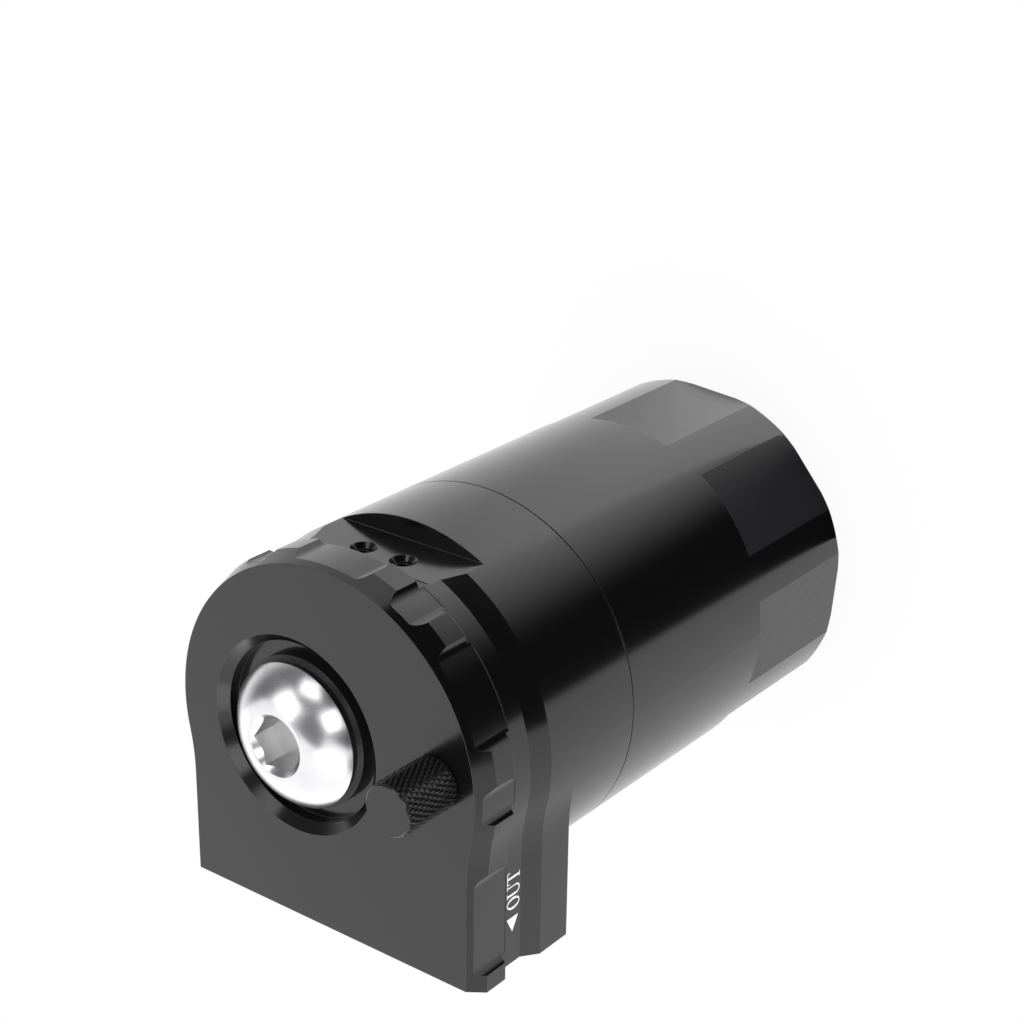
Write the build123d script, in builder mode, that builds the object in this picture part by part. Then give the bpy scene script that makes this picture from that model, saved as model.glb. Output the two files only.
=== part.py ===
"""Baffled oil catch can: a turned cup screwed under a milled head with two side ports."""
import math
import os

from build123d import *

os.makedirs("parts", exist_ok=True)

# Angles and counts that never change
half_turn = 180.0
hex_count = 6

# Fits
running_clearance = 0.05
seat_clearance = 0.02
free_clearance = 0.3

# Can body
can_radius = 35.0
overall_height = 117.6
seam_height = 73.9
seam_gap = 0.3
cup_floor = 5.0
cup_edge = 0.8
cup_fillet = 2.0
cup_wall = 4.0
thread_length = 12.0
thread_lead_in = 0.8
flat_count = 8
flat_turn = -4.3
flat_depth = 1.2
flat_length = 31.0

# Seal between cup and head
seal_section = 2.0
gland_width = 2.6

# Head layers: steps in from the can's radius, depths counted down from the face
face_step = 1.4
face_chamfer = 4.2
plate_thickness = 9.3
neck_step = 0.8
neck_depth = 14.4
flare_depth = 19.3
block_depth = 27.2
side_inset = 1.7
waist_radius = 40.0
port_stand = 3.3
port_face_step = 1.8
port_neck_step = 1.6
spigot_wall = 2.6
ceiling_depth = 29.0

# Rim notches: centre and half width, repeated on both sides
top_notch_angle = 90.0
top_notch_half_angle = 14.5
rim_notch_angles = (61.0, 30.9, -1.4)
rim_notch_half_angles = (7.1, 16.3, 6.8)
notch_step = 0.9
notch_depth = 10.2
notch_fillet = 2.4
side_notch_start = 14.2
side_notch_land = 2.9

# Bracket seat at the back
seat_cut = 4.0
seat_depth = 24.0
seat_fillet = 3.0
bracket_hole_pitch = 9.0
bracket_hole_depth = 16.5
bracket_thread_radius = 1.7
bracket_mouth_radius = 2.5
bracket_thread_length = 10.0

# Hose ports in the flat side
port_inset = 19.0
port_seat_radius = 10.8
port_seat_depth = 1.9
port_thread_radius = 8.25
port_mouth_radius = 9.6
port_thread_length = 15.0
port_centre_depth = 13.6
passage_radius = 5.5
passage_land = 2.3

# Plugged spare port
plug_x = -6.7
recess_radius = 17.2
recess_bevel = 1.7
recess_depth = 3.9
plug_thread_radius = 9.0
plug_length = 14.0
plug_lead_in = 1.2
plug_head_radius = 13.7
plug_dome = 4.9
plug_crown_radius = 6.6
socket_flats = 9.525
socket_depth = 5.5
socket_mouth = 0.4
washer_thickness = 2.0
washer_radius = 14.4
lip_radius = 10.8
lip_thickness = 1.6

# Dipstick
dip_inset = 9.6
dip_y = 2.4
knob_radius = 5.0
knob_height = 12.5
knob_edge = 0.5
stem_radius = 3.0
stem_length = 14.0
stem_groove_depth = 1.05
stem_groove_width = 1.5
stem_groove_drop = 4.0
dip_seal_section = 1.3
rod_radius = 1.2
rod_socket = 6.0
rod_end_gap = 4.0
rod_mark_depth = 0.3
rod_mark_width = 1.0
low_mark_height = 18.0
full_mark_gap = 8.0

# Baffle stack hung from the head
stack_inset = 6.4
stack_count = 3
stack_turn = 30.0
stack_gap = 1.35
standoff_radius = 3.5
plate_gap = 1.45
baffle_thickness = 1.5
pad_thickness = 9.0
pad_inset = 0.6
screw_radius = 2.0
screw_bite = 9.0
screw_head_radius = 3.6
screw_head_height = 2.6
screw_socket_radius = 1.75
screw_socket_depth = 1.3
washer_disc_radius = 4.4
washer_disc_thickness = 0.8
vent_radius = 1.6
vent_ring_radii = (6.5, 12.5)
vent_ring_counts = (6, 12)

# Inlet tube and outlet filter
tube_wall = 1.1
tube_press = 6.0
tube_outlet_gap = 8.0
nipple_flats = 12.5
nipple_thickness = 4.0
nipple_press = 6.0
nipple_bore = 3.4
filter_radius = 6.4
filter_wall = 1.8
filter_gap = 6.0
filter_round = 2.0
filter_tail = 2.0
fibre_thickness = 1.0

# Radii that follow from the can's radius
face_radius = can_radius - face_step
neck_radius = can_radius - neck_step
notch_radius = can_radius - notch_step
cut_radius = 2 * can_radius
port_flat = can_radius + port_stand
port_seat = port_flat - port_seat_depth
seat_y = can_radius - seat_cut
flat_distance = can_radius - flat_depth
thread_radius = can_radius - cup_wall
cup_bore = thread_radius + running_clearance
gland_radius = thread_radius + gland_width
spigot_bore = thread_radius - spigot_wall
stack_radius = spigot_bore - stack_inset
plate_radius = cup_bore - plate_gap
pad_radius = plate_radius - pad_inset
stem_bore = stem_radius + free_clearance
rod_bore = rod_radius + free_clearance
socket_corner = socket_flats / 2 / math.cos(math.pi / hex_count)

# Places in plan
port_x = can_radius - port_inset
passage_reach = spigot_bore - passage_radius - passage_land
passage_y = -math.sqrt(passage_reach ** 2 - port_x ** 2)
dip_x = can_radius - dip_inset

# Levels
face_z = overall_height
rim_z = face_z - face_chamfer
plate_back_z = face_z - plate_thickness
notch_z = face_z - notch_depth
neck_z = face_z - neck_depth
flare_z = face_z - flare_depth
seat_z = face_z - seat_depth
block_z = face_z - block_depth
ceiling_z = face_z - ceiling_depth
shoulder_z = seam_height + seam_gap / 2
cup_rim_z = seam_height - seam_gap / 2
spigot_z = shoulder_z - thread_length
gland_floor_z = shoulder_z - seal_section - 2 * seat_clearance
port_z = face_z - port_centre_depth
recess_z = face_z - recess_depth
bracket_z = face_z - bracket_hole_depth
standoff_z = spigot_z - stack_gap
upper_plate_z = standoff_z - baffle_thickness
pad_z = upper_plate_z - pad_thickness
lower_plate_z = pad_z - baffle_thickness
stack_washer_z = lower_plate_z - washer_disc_thickness
screw_head_z = stack_washer_z - screw_head_height
tube_end_z = screw_head_z - tube_outlet_gap
knob_z = face_z + seat_clearance
stem_end_z = face_z - stem_length
rod_end_z = cup_floor + rod_end_gap
full_mark_height = lower_plate_z - full_mark_gap
nipple_z = ceiling_z - fibre_thickness - nipple_thickness
filter_end_z = standoff_z + filter_gap

# Slopes of the chamfer and the flare
chamfer_angle = math.degrees(math.atan2(face_step, face_chamfer))
flare_angle = math.degrees(math.atan2(neck_step, flare_depth - neck_depth))


def outline(radius):
    """Head outline of one layer: a round top, a waist each side and straight sides past the port flat."""
    side = radius - side_inset
    waist = waist_radius + can_radius - radius
    waist_y = -math.sqrt((radius + waist) ** 2 - (side + waist) ** 2)
    sweep = math.degrees(math.asin(-waist_y / (radius + waist)))
    with BuildSketch() as shape:
        with BuildLine():
            CenterArc((0, 0), radius, -sweep, half_turn + 2 * sweep)
            CenterArc((side + waist, waist_y), waist, half_turn, -sweep)
            CenterArc((-side - waist, waist_y), waist, 0, sweep)
            Line((side, waist_y), (side, -cut_radius))
            Line((side, -cut_radius), (-side, -cut_radius))
            Line((-side, -cut_radius), (-side, waist_y))
        make_face()
    return shape.sketch


def rim_notch(centre, half):
    """Notch round the rim, its floor just below the neck and its inner corners rounded."""
    with BuildSketch() as cut:
        with BuildLine():
            floor = CenterArc((0, 0), notch_radius, centre - half, 2 * half)
            outer = CenterArc((0, 0), cut_radius, centre - half, 2 * half)
            Line(floor @ 0, outer @ 0)
            Line(floor @ 1, outer @ 1)
        make_face()
        fillet(cut.vertices().sort_by_distance((0, 0, 0))[:2], notch_fillet)
    return cut.sketch


# Head: rear block, flare, neck and face plate over a round skirt, bored out from below
with BuildPart() as head:
    with BuildSketch(Plane.XY.offset(block_z)):
        add(outline(can_radius))
    extrude(amount=flare_z - block_z)
    with BuildSketch(Plane.XY.offset(flare_z)):
        add(outline(can_radius))
    extrude(amount=neck_z - flare_z, taper=flare_angle)
    with BuildSketch(Plane.XY.offset(neck_z)):
        add(outline(neck_radius))
    extrude(amount=plate_back_z - neck_z)
    with BuildSketch(Plane.XY.offset(plate_back_z)):
        add(outline(can_radius))
    extrude(amount=rim_z - plate_back_z)
    with BuildSketch(Plane.XY.offset(rim_z)):
        add(outline(can_radius))
    extrude(amount=face_chamfer, taper=chamfer_angle)
    # Flat side that takes the hose ports, milled to the profile of the layers
    with BuildSketch(Plane.YZ):
        with BuildLine():
            Polyline(
                (port_face_step - port_flat, face_z),
                (-port_flat, rim_z),
                (-port_flat, plate_back_z),
                (port_neck_step - port_flat, plate_back_z),
                (port_neck_step - port_flat, neck_z),
                (-port_flat, flare_z),
                (-port_flat, block_z),
                (-cut_radius, block_z),
                (-cut_radius, face_z),
                close=True,
            )
        make_face()
    extrude(amount=cut_radius, both=True, mode=Mode.SUBTRACT)
    # Skirt, spigot and chamber
    with BuildSketch(Plane.XY.offset(shoulder_z)):
        Circle(can_radius)
    extrude(amount=block_z - shoulder_z)
    with BuildSketch(Plane.XY.offset(spigot_z)):
        Circle(thread_radius)
    extrude(amount=shoulder_z - spigot_z)
    chamfer(head.faces().sort_by(Axis.Z)[0].edges(), thread_lead_in)
    with BuildSketch(Plane.XY.offset(spigot_z)):
        Circle(spigot_bore)
    extrude(amount=ceiling_z - spigot_z, mode=Mode.SUBTRACT)
    # Spare port under the plug
    with BuildSketch(Plane.XY.offset(face_z)):
        with Locations((plug_x, 0)):
            Circle(recess_radius + recess_bevel)
    with BuildSketch(Plane.XY.offset(face_z - recess_bevel)):
        with Locations((plug_x, 0)):
            Circle(recess_radius)
    loft(mode=Mode.SUBTRACT)
    with BuildSketch(Plane.XY.offset(recess_z)):
        with Locations((plug_x, 0)):
            Circle(recess_radius)
    extrude(amount=recess_depth, mode=Mode.SUBTRACT)
    with BuildSketch(Plane.XY.offset(ceiling_z)):
        with Locations((plug_x, 0)):
            Circle(plug_thread_radius + running_clearance)
    extrude(amount=recess_z - ceiling_z, mode=Mode.SUBTRACT)
    # Hose ports: a flat seat for the fitting, the threaded hole and a drop into the chamber
    with BuildSketch(Plane((0, -port_seat, port_z), x_dir=(1, 0, 0), z_dir=(0, -1, 0))):
        with GridLocations(2 * port_x, 0, 2, 1):
            Circle(port_seat_radius)
    extrude(amount=port_seat_depth, mode=Mode.SUBTRACT)
    with Locations(Plane((0, -port_seat, port_z), x_dir=(1, 0, 0), z_dir=(0, -1, 0))):
        with GridLocations(2 * port_x, 0, 2, 1):
            CounterSinkHole(port_thread_radius, port_mouth_radius, port_thread_length)
            Hole(passage_radius, port_seat + passage_y)
    with BuildSketch(Plane.XY.offset(ceiling_z)):
        with Locations((0, passage_y)):
            with GridLocations(2 * port_x, 0, 2, 1):
                Circle(passage_radius)
    extrude(amount=port_z - ceiling_z, mode=Mode.SUBTRACT)
    # Notches milled through the plate's rim and just into the neck
    with BuildSketch(Plane.XY.offset(notch_z)):
        add(rim_notch(top_notch_angle, top_notch_half_angle))
        for centre, half in zip(rim_notch_angles, rim_notch_half_angles):
            add(rim_notch(centre, half))
            add(rim_notch(half_turn - centre, half))
        for side in (-1, 1):
            with Locations((side * (notch_radius - side_inset + can_radius / 2),
                            -(side_notch_start + port_flat - side_notch_land) / 2)):
                RectangleRounded(can_radius, port_flat - side_notch_land - side_notch_start, notch_fillet)
    extrude(amount=notch_depth, mode=Mode.SUBTRACT)
    # Flat bracket seat with its rounded back corner
    with BuildSketch(Plane.YZ) as seat:
        with Locations((seat_y, seat_z)):
            Rectangle(can_radius, plate_back_z - seat_z, align=(Align.MIN, Align.MIN))
        fillet(seat.vertices().sort_by(Axis.Z)[:2].sort_by(Axis.Y)[0], seat_fillet)
    extrude(amount=can_radius, both=True, mode=Mode.SUBTRACT)
    # Bracket holes
    with Locations(Plane((0, seat_y, bracket_z), x_dir=(1, 0, 0), z_dir=(0, 1, 0))):
        with GridLocations(bracket_hole_pitch, 0, 2, 1):
            CounterSinkHole(bracket_thread_radius, bracket_mouth_radius, bracket_thread_length)
    # Dipstick bore and stack screw holes
    with BuildSketch(Plane.XY.offset(stem_end_z)):
        with Locations((dip_x, dip_y)):
            Circle(stem_bore)
    extrude(amount=stem_length, mode=Mode.SUBTRACT)
    with BuildSketch(Plane.XY.offset(ceiling_z)):
        with Locations((dip_x, dip_y)):
            Circle(rod_bore)
    extrude(amount=stem_end_z - ceiling_z, mode=Mode.SUBTRACT)
    with BuildSketch(Plane.XY.offset(ceiling_z)):
        with PolarLocations(stack_radius, stack_count, start_angle=stack_turn):
            Circle(screw_radius)
    extrude(amount=screw_bite, mode=Mode.SUBTRACT)
head.part.label = "head"
export_step(head.part, "parts/head.step")

# Cup: plain outside with wrench flats round the foot
with BuildPart() as cup:
    with BuildSketch():
        Circle(can_radius)
    extrude(amount=cup_rim_z)
    chamfer(cup.faces().sort_by(Axis.Z)[0].edges(), cup_edge)
    with BuildSketch(Plane.XY.offset(cup_floor)):
        Circle(cup_bore)
    extrude(amount=cup_rim_z - cup_floor, mode=Mode.SUBTRACT)
    fillet(cup.edges().filter_by_position(Axis.Z, cup_floor, cup_floor), cup_fillet)
    with BuildSketch(Plane.XY.offset(gland_floor_z)):
        Circle(gland_radius)
    extrude(amount=cup_rim_z - gland_floor_z, mode=Mode.SUBTRACT)
    with BuildSketch():
        with PolarLocations(flat_distance + can_radius / 2, flat_count, start_angle=flat_turn):
            Rectangle(can_radius, can_radius)
    extrude(amount=flat_length, mode=Mode.SUBTRACT)
cup.part.label = "cup"
export_step(cup.part, "parts/cup.step")

# Seal ring in the cup's mouth
with BuildPart() as cup_seal:
    with BuildSketch(Plane.XZ):
        with Locations((thread_radius + gland_width / 2, gland_floor_z + seal_section / 2 + seat_clearance)):
            Circle(seal_section / 2)
    revolve(axis=Axis.Z)
cup_seal.part.label = "cup_seal"
export_step(cup_seal.part, "parts/cup_seal.step")

# Domed plug screw with its hexagon socket
washer_top_z = recess_z + washer_thickness
plug_base_z = washer_top_z + seat_clearance
crown_z = face_z + plug_dome
plug_axis = Axis((plug_x, 0, 0), (0, 0, 1))
with BuildPart() as plug_screw:
    with BuildSketch(Plane.XZ) as profile:
        with BuildLine():
            Line((plug_x, plug_base_z - plug_length), (plug_x, crown_z))
            Line((plug_x, crown_z), (plug_x + plug_crown_radius, crown_z))
            RadiusArc((plug_x + plug_crown_radius, crown_z), (plug_x + plug_head_radius, face_z), plug_head_radius)
            Line((plug_x + plug_head_radius, face_z), (plug_x + plug_head_radius, plug_base_z))
            Line((plug_x + plug_head_radius, plug_base_z), (plug_x + plug_thread_radius, plug_base_z))
            Line((plug_x + plug_thread_radius, plug_base_z),
                 (plug_x + plug_thread_radius, plug_base_z - plug_length + plug_lead_in))
            Line((plug_x + plug_thread_radius, plug_base_z - plug_length + plug_lead_in),
                 (plug_x + plug_thread_radius - plug_lead_in, plug_base_z - plug_length))
            Line((plug_x + plug_thread_radius - plug_lead_in, plug_base_z - plug_length),
                 (plug_x, plug_base_z - plug_length))
        make_face()
    revolve(axis=plug_axis)
    with BuildSketch(Plane.XY.offset(crown_z - socket_depth)):
        with Locations((plug_x, 0)):
            RegularPolygon(socket_flats / 2, hex_count, major_radius=False)
    extrude(amount=socket_depth, mode=Mode.SUBTRACT)
    with BuildSketch(Plane.XY.offset(crown_z)):
        with Locations((plug_x, 0)):
            Circle(socket_corner + socket_mouth)
    with BuildSketch(Plane.XY.offset(crown_z - socket_corner - socket_mouth + socket_flats / 2)):
        with Locations((plug_x, 0)):
            Circle(socket_flats / 2)
    loft(mode=Mode.SUBTRACT)
plug_screw.part.label = "plug_screw"
export_step(plug_screw.part, "parts/plug_screw.step")

# Sealing washer: metal ring with a rubber lip inside
with BuildPart() as plug_washer:
    with BuildSketch(Plane.XY.offset(recess_z + seat_clearance / 2)):
        with Locations((plug_x, 0)):
            Circle(washer_radius)
            Circle(lip_radius, mode=Mode.SUBTRACT)
    extrude(amount=washer_thickness)
plug_washer.part.label = "plug_washer"
export_step(plug_washer.part, "parts/plug_washer.step")

with BuildPart() as plug_lip:
    with BuildSketch(Plane.XY.offset(recess_z + (washer_thickness - lip_thickness) / 2)):
        with Locations((plug_x, 0)):
            Circle(lip_radius - seat_clearance)
            Circle(plug_thread_radius + free_clearance, mode=Mode.SUBTRACT)
    extrude(amount=lip_thickness)
plug_lip.part.label = "plug_lip"
export_step(plug_lip.part, "parts/plug_lip.step")

# Dipstick knob with its sealed stem
with BuildPart() as dip_knob:
    with BuildSketch(Plane.XY.offset(knob_z)):
        with Locations((dip_x, dip_y)):
            Circle(knob_radius)
    extrude(amount=knob_height)
    chamfer(dip_knob.faces().sort_by(Axis.Z)[-1].edges(), knob_edge)
    with BuildSketch(Plane.XY.offset(stem_end_z + free_clearance)):
        with Locations((dip_x, dip_y)):
            Circle(stem_radius)
    extrude(amount=knob_z - stem_end_z - free_clearance)
    with BuildSketch(Plane.XY.offset(face_z - stem_groove_drop - stem_groove_width)):
        with Locations((dip_x, dip_y)):
            Circle(stem_radius)
            Circle(stem_radius - stem_groove_depth, mode=Mode.SUBTRACT)
    extrude(amount=stem_groove_width, mode=Mode.SUBTRACT)
    with BuildSketch(Plane.XY.offset(stem_end_z)):
        with Locations((dip_x, dip_y)):
            Circle(rod_radius + seat_clearance)
    extrude(amount=rod_socket, mode=Mode.SUBTRACT)
dip_knob.part.label = "dip_knob"
export_step(dip_knob.part, "parts/dip_knob.step")

with BuildPart() as dip_seal:
    with BuildSketch(Plane.XZ.offset(-dip_y)):
        with Locations((dip_x + stem_bore - seat_clearance - dip_seal_section / 2,
                        face_z - stem_groove_drop - stem_groove_width / 2)):
            Circle(dip_seal_section / 2)
    revolve(axis=Axis((dip_x, dip_y, 0), (0, 0, 1)))
dip_seal.part.label = "dip_seal"
export_step(dip_seal.part, "parts/dip_seal.step")

# Dipstick rod with a ring at the low and the full level
with BuildPart() as dip_rod:
    with BuildSketch(Plane.XY.offset(rod_end_z)):
        with Locations((dip_x, dip_y)):
            Circle(rod_radius)
    extrude(amount=stem_end_z + rod_socket - rod_end_z)
    for mark_z in (low_mark_height, full_mark_height):
        with BuildSketch(Plane.XY.offset(mark_z)):
            with Locations((dip_x, dip_y)):
                Circle(rod_radius)
                Circle(rod_radius - rod_mark_depth, mode=Mode.SUBTRACT)
        extrude(amount=rod_mark_width, mode=Mode.SUBTRACT)
dip_rod.part.label = "dip_rod"
export_step(dip_rod.part, "parts/dip_rod.step")


def stack_disc(radius, base_z, thickness, screw_hole):
    """One disc of the baffle stack, drilled for its screws, the inlet tube and the dipstick."""
    with BuildPart() as disc:
        with BuildSketch(Plane.XY.offset(base_z)):
            Circle(radius)
            with PolarLocations(stack_radius, stack_count, start_angle=stack_turn):
                Circle(screw_hole, mode=Mode.SUBTRACT)
            with Locations((-port_x, passage_y)):
                Circle(passage_radius + free_clearance, mode=Mode.SUBTRACT)
            with Locations((dip_x, dip_y)):
                Circle(rod_bore, mode=Mode.SUBTRACT)
        extrude(amount=thickness)
    return disc.part


# Perforated baffle plates above and below the mesh pad
with BuildPart() as upper_plate:
    add(stack_disc(plate_radius, upper_plate_z, baffle_thickness, screw_radius + free_clearance))
    with BuildSketch(Plane.XY.offset(upper_plate_z)):
        for ring_radius, ring_count in zip(vent_ring_radii, vent_ring_counts):
            with PolarLocations(ring_radius, ring_count):
                Circle(vent_radius)
    extrude(amount=baffle_thickness, mode=Mode.SUBTRACT)
upper_plate.part.label = "upper_plate"
export_step(upper_plate.part, "parts/upper_plate.step")

mesh_pad = stack_disc(pad_radius, pad_z, pad_thickness, standoff_radius + free_clearance)
mesh_pad.label = "mesh_pad"
export_step(mesh_pad, "parts/mesh_pad.step")

with BuildPart() as lower_plate:
    add(stack_disc(plate_radius, lower_plate_z, baffle_thickness, screw_radius + free_clearance))
    with BuildSketch(Plane.XY.offset(lower_plate_z)):
        for ring_radius, ring_count in zip(vent_ring_radii, vent_ring_counts):
            with PolarLocations(ring_radius, ring_count):
                Circle(vent_radius)
    extrude(amount=baffle_thickness, mode=Mode.SUBTRACT)
lower_plate.part.label = "lower_plate"
export_step(lower_plate.part, "parts/lower_plate.step")

# Tubular spacers above the stack and through its pad, washers and long screws
with BuildPart() as standoffs:
    with BuildSketch(Plane.XY.offset(standoff_z)):
        with PolarLocations(stack_radius, stack_count, start_angle=stack_turn):
            Circle(standoff_radius)
            Circle(screw_radius + free_clearance, mode=Mode.SUBTRACT)
    extrude(amount=ceiling_z - standoff_z)
standoffs.part.label = "standoffs"
export_step(standoffs.part, "parts/standoffs.step")

with BuildPart() as pad_spacers:
    with BuildSketch(Plane.XY.offset(pad_z)):
        with PolarLocations(stack_radius, stack_count, start_angle=stack_turn):
            Circle(standoff_radius)
            Circle(screw_radius + free_clearance, mode=Mode.SUBTRACT)
    extrude(amount=pad_thickness)
pad_spacers.part.label = "pad_spacers"
export_step(pad_spacers.part, "parts/pad_spacers.step")

with BuildPart() as stack_washers:
    with BuildSketch(Plane.XY.offset(stack_washer_z)):
        with PolarLocations(stack_radius, stack_count, start_angle=stack_turn):
            Circle(washer_disc_radius)
            Circle(screw_radius + free_clearance, mode=Mode.SUBTRACT)
    extrude(amount=washer_disc_thickness)
stack_washers.part.label = "stack_washers"
export_step(stack_washers.part, "parts/stack_washers.step")

with BuildPart() as stack_screws:
    with BuildSketch(Plane.XY.offset(screw_head_z)):
        with PolarLocations(stack_radius, stack_count, start_angle=stack_turn):
            Circle(screw_head_radius)
    extrude(amount=screw_head_height)
    with BuildSketch(Plane.XY.offset(stack_washer_z)):
        with PolarLocations(stack_radius, stack_count, start_angle=stack_turn):
            Circle(screw_radius)
    extrude(amount=ceiling_z + screw_bite - stack_washer_z)
    with BuildSketch(Plane.XY.offset(screw_head_z)):
        with PolarLocations(stack_radius, stack_count, start_angle=stack_turn):
            RegularPolygon(screw_socket_radius, hex_count)
    extrude(amount=screw_socket_depth, mode=Mode.SUBTRACT)
stack_screws.part.label = "stack_screws"
export_step(stack_screws.part, "parts/stack_screws.step")

# Inlet tube pressed into the drop from the inlet port
with BuildPart() as inlet_tube:
    with BuildSketch(Plane.XY.offset(tube_end_z)):
        with Locations((-port_x, passage_y)):
            Circle(passage_radius)
            Circle(passage_radius - tube_wall, mode=Mode.SUBTRACT)
    extrude(amount=ceiling_z + tube_press - tube_end_z)
inlet_tube.part.label = "inlet_tube"
export_step(inlet_tube.part, "parts/inlet_tube.step")

# Outlet filter: hexagon nipple, fibre washer and sintered bronze thimble
with BuildPart() as filter_washer:
    with BuildSketch(Plane.XY.offset(ceiling_z - fibre_thickness)):
        with Locations((port_x, passage_y)):
            Circle(nipple_flats / 2)
            Circle(passage_radius + free_clearance, mode=Mode.SUBTRACT)
    extrude(amount=fibre_thickness)
filter_washer.part.label = "filter_washer"
export_step(filter_washer.part, "parts/filter_washer.step")

with BuildPart() as filter_nipple:
    with BuildSketch(Plane.XY.offset(nipple_z)):
        with Locations((port_x, passage_y)):
            RegularPolygon(nipple_flats / 2, hex_count, major_radius=False)
    extrude(amount=nipple_thickness)
    with BuildSketch(Plane.XY.offset(nipple_z - filter_tail)):
        with Locations((port_x, passage_y)):
            Circle(filter_radius - filter_wall - seat_clearance)
    extrude(amount=filter_tail)
    with BuildSketch(Plane.XY.offset(nipple_z + nipple_thickness)):
        with Locations((port_x, passage_y)):
            Circle(passage_radius - seat_clearance)
    extrude(amount=fibre_thickness + nipple_press)
    with BuildSketch(Plane.XY.offset(nipple_z - filter_tail)):
        with Locations((port_x, passage_y)):
            Circle(nipple_bore)
    extrude(amount=filter_tail + nipple_thickness + fibre_thickness + nipple_press, mode=Mode.SUBTRACT)
filter_nipple.part.label = "filter_nipple"
export_step(filter_nipple.part, "parts/filter_nipple.step")

with BuildPart() as filter_element:
    with BuildSketch(Plane.XY.offset(filter_end_z)):
        with Locations((port_x, passage_y)):
            Circle(filter_radius)
    extrude(amount=nipple_z - filter_end_z)
    fillet(filter_element.faces().sort_by(Axis.Z)[0].edges(), filter_round)
    with BuildSketch(Plane.XY.offset(filter_end_z + filter_wall)):
        with Locations((port_x, passage_y)):
            Circle(filter_radius - filter_wall)
    extrude(amount=nipple_z - filter_end_z - filter_wall, mode=Mode.SUBTRACT)
filter_element.part.label = "filter_element"
export_step(filter_element.part, "parts/filter_element.step")
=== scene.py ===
"""Dresses the oil catch can: finishes, port marks, threads, knurling and the studio it stands in."""

import logging
import math
from collections.abc import Sequence
from dataclasses import dataclass
from enum import Enum
from typing import Any, ClassVar

import bmesh
import bpy
from mathutils import Euler, Matrix, Vector


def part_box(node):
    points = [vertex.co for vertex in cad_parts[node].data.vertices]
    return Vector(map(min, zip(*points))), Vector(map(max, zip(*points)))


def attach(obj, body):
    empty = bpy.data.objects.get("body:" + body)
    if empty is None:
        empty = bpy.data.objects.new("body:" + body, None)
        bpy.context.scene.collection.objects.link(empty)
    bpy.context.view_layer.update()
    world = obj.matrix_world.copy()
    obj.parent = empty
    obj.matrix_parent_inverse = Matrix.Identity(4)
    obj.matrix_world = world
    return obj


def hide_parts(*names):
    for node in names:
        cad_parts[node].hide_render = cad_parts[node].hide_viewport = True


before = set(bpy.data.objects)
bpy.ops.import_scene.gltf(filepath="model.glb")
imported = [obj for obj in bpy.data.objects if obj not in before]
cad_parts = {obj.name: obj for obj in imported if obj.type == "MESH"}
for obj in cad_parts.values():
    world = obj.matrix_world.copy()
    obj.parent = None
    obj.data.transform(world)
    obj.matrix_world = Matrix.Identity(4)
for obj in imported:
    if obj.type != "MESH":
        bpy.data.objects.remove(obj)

LOG = logging.getLogger("catch_can")
MM = 0.001
# Corners nearer than this are one corner
MERGE_M = 1e-6
FULL_TURN = 2 * math.pi
WHITE = (1.0, 1.0, 1.0, 1.0)
# A position times this keeps its place in plan and loses its level
IN_PLAN = (1.0, 1.0, 0.0)
# The corners along one stitch of the pad, and how far its loop bulges past its neck, as a share of its width
STITCH_POINTS = 13
STITCH_BULGE = 0.18

# The kinds of node that are used most
MATH = "ShaderNodeMath"
VECTOR = "ShaderNodeVectorMath"
AXES = "ShaderNodeSeparateXYZ"
JOIN = "ShaderNodeCombineXYZ"
RANGE = "ShaderNodeMapRange"
NOISE = "ShaderNodeTexNoise"
MIX = "ShaderNodeMix"

Node = bpy.types.Node
Socket = bpy.types.NodeSocket
Tree = bpy.types.NodeTree
Point = tuple[float, float, float]
Polygon = list[tuple[float, float]]
Sizes = dict[str, float | int]
Inputs = dict[str | int, Any] | Sequence[Any]


def linear(colour: str) -> tuple[float, float, float, float]:
    """Turns an sRGB hex colour into linear light.

    Args:
        colour: The colour as "#rrggbb".

    Returns:
        Red, green, blue and a full alpha.
    """
    channels = [int(colour[start:start + 2], 16) / 255 for start in (1, 3, 5)]
    red, green, blue = [c / 12.92 if c <= 0.04045 else ((c + 0.055) / 1.055) ** 2.4 for c in channels]
    return red, green, blue, 1.0


def add_node(tree: Tree, kind: str, inputs: Inputs = (), **settings: Any) -> Node:
    """Adds one node to a tree.

    Args:
        tree: The tree that takes the node.
        kind: The node's type name.
        inputs: What each input takes, by its name or number or in order: a value, a socket, or a node whose
            first output is meant.
        settings: The node's own properties.

    Returns:
        The new node.
    """
    node = tree.nodes.new(kind)
    for name, value in settings.items():
        setattr(node, name, value)
    for key, value in inputs.items() if isinstance(inputs, dict) else enumerate(inputs):
        source = value.outputs[0] if isinstance(value, Node) else value
        if isinstance(source, Socket):
            tree.links.new(source, node.inputs[key])
        else:
            node.inputs[key].default_value = source
    return node


def blank_tree(owner: bpy.types.Material | bpy.types.World) -> Tree:
    """Returns the node tree of a material or a world, emptied."""
    owner.use_nodes = True
    owner.node_tree.nodes.clear()
    return owner.node_tree


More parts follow.
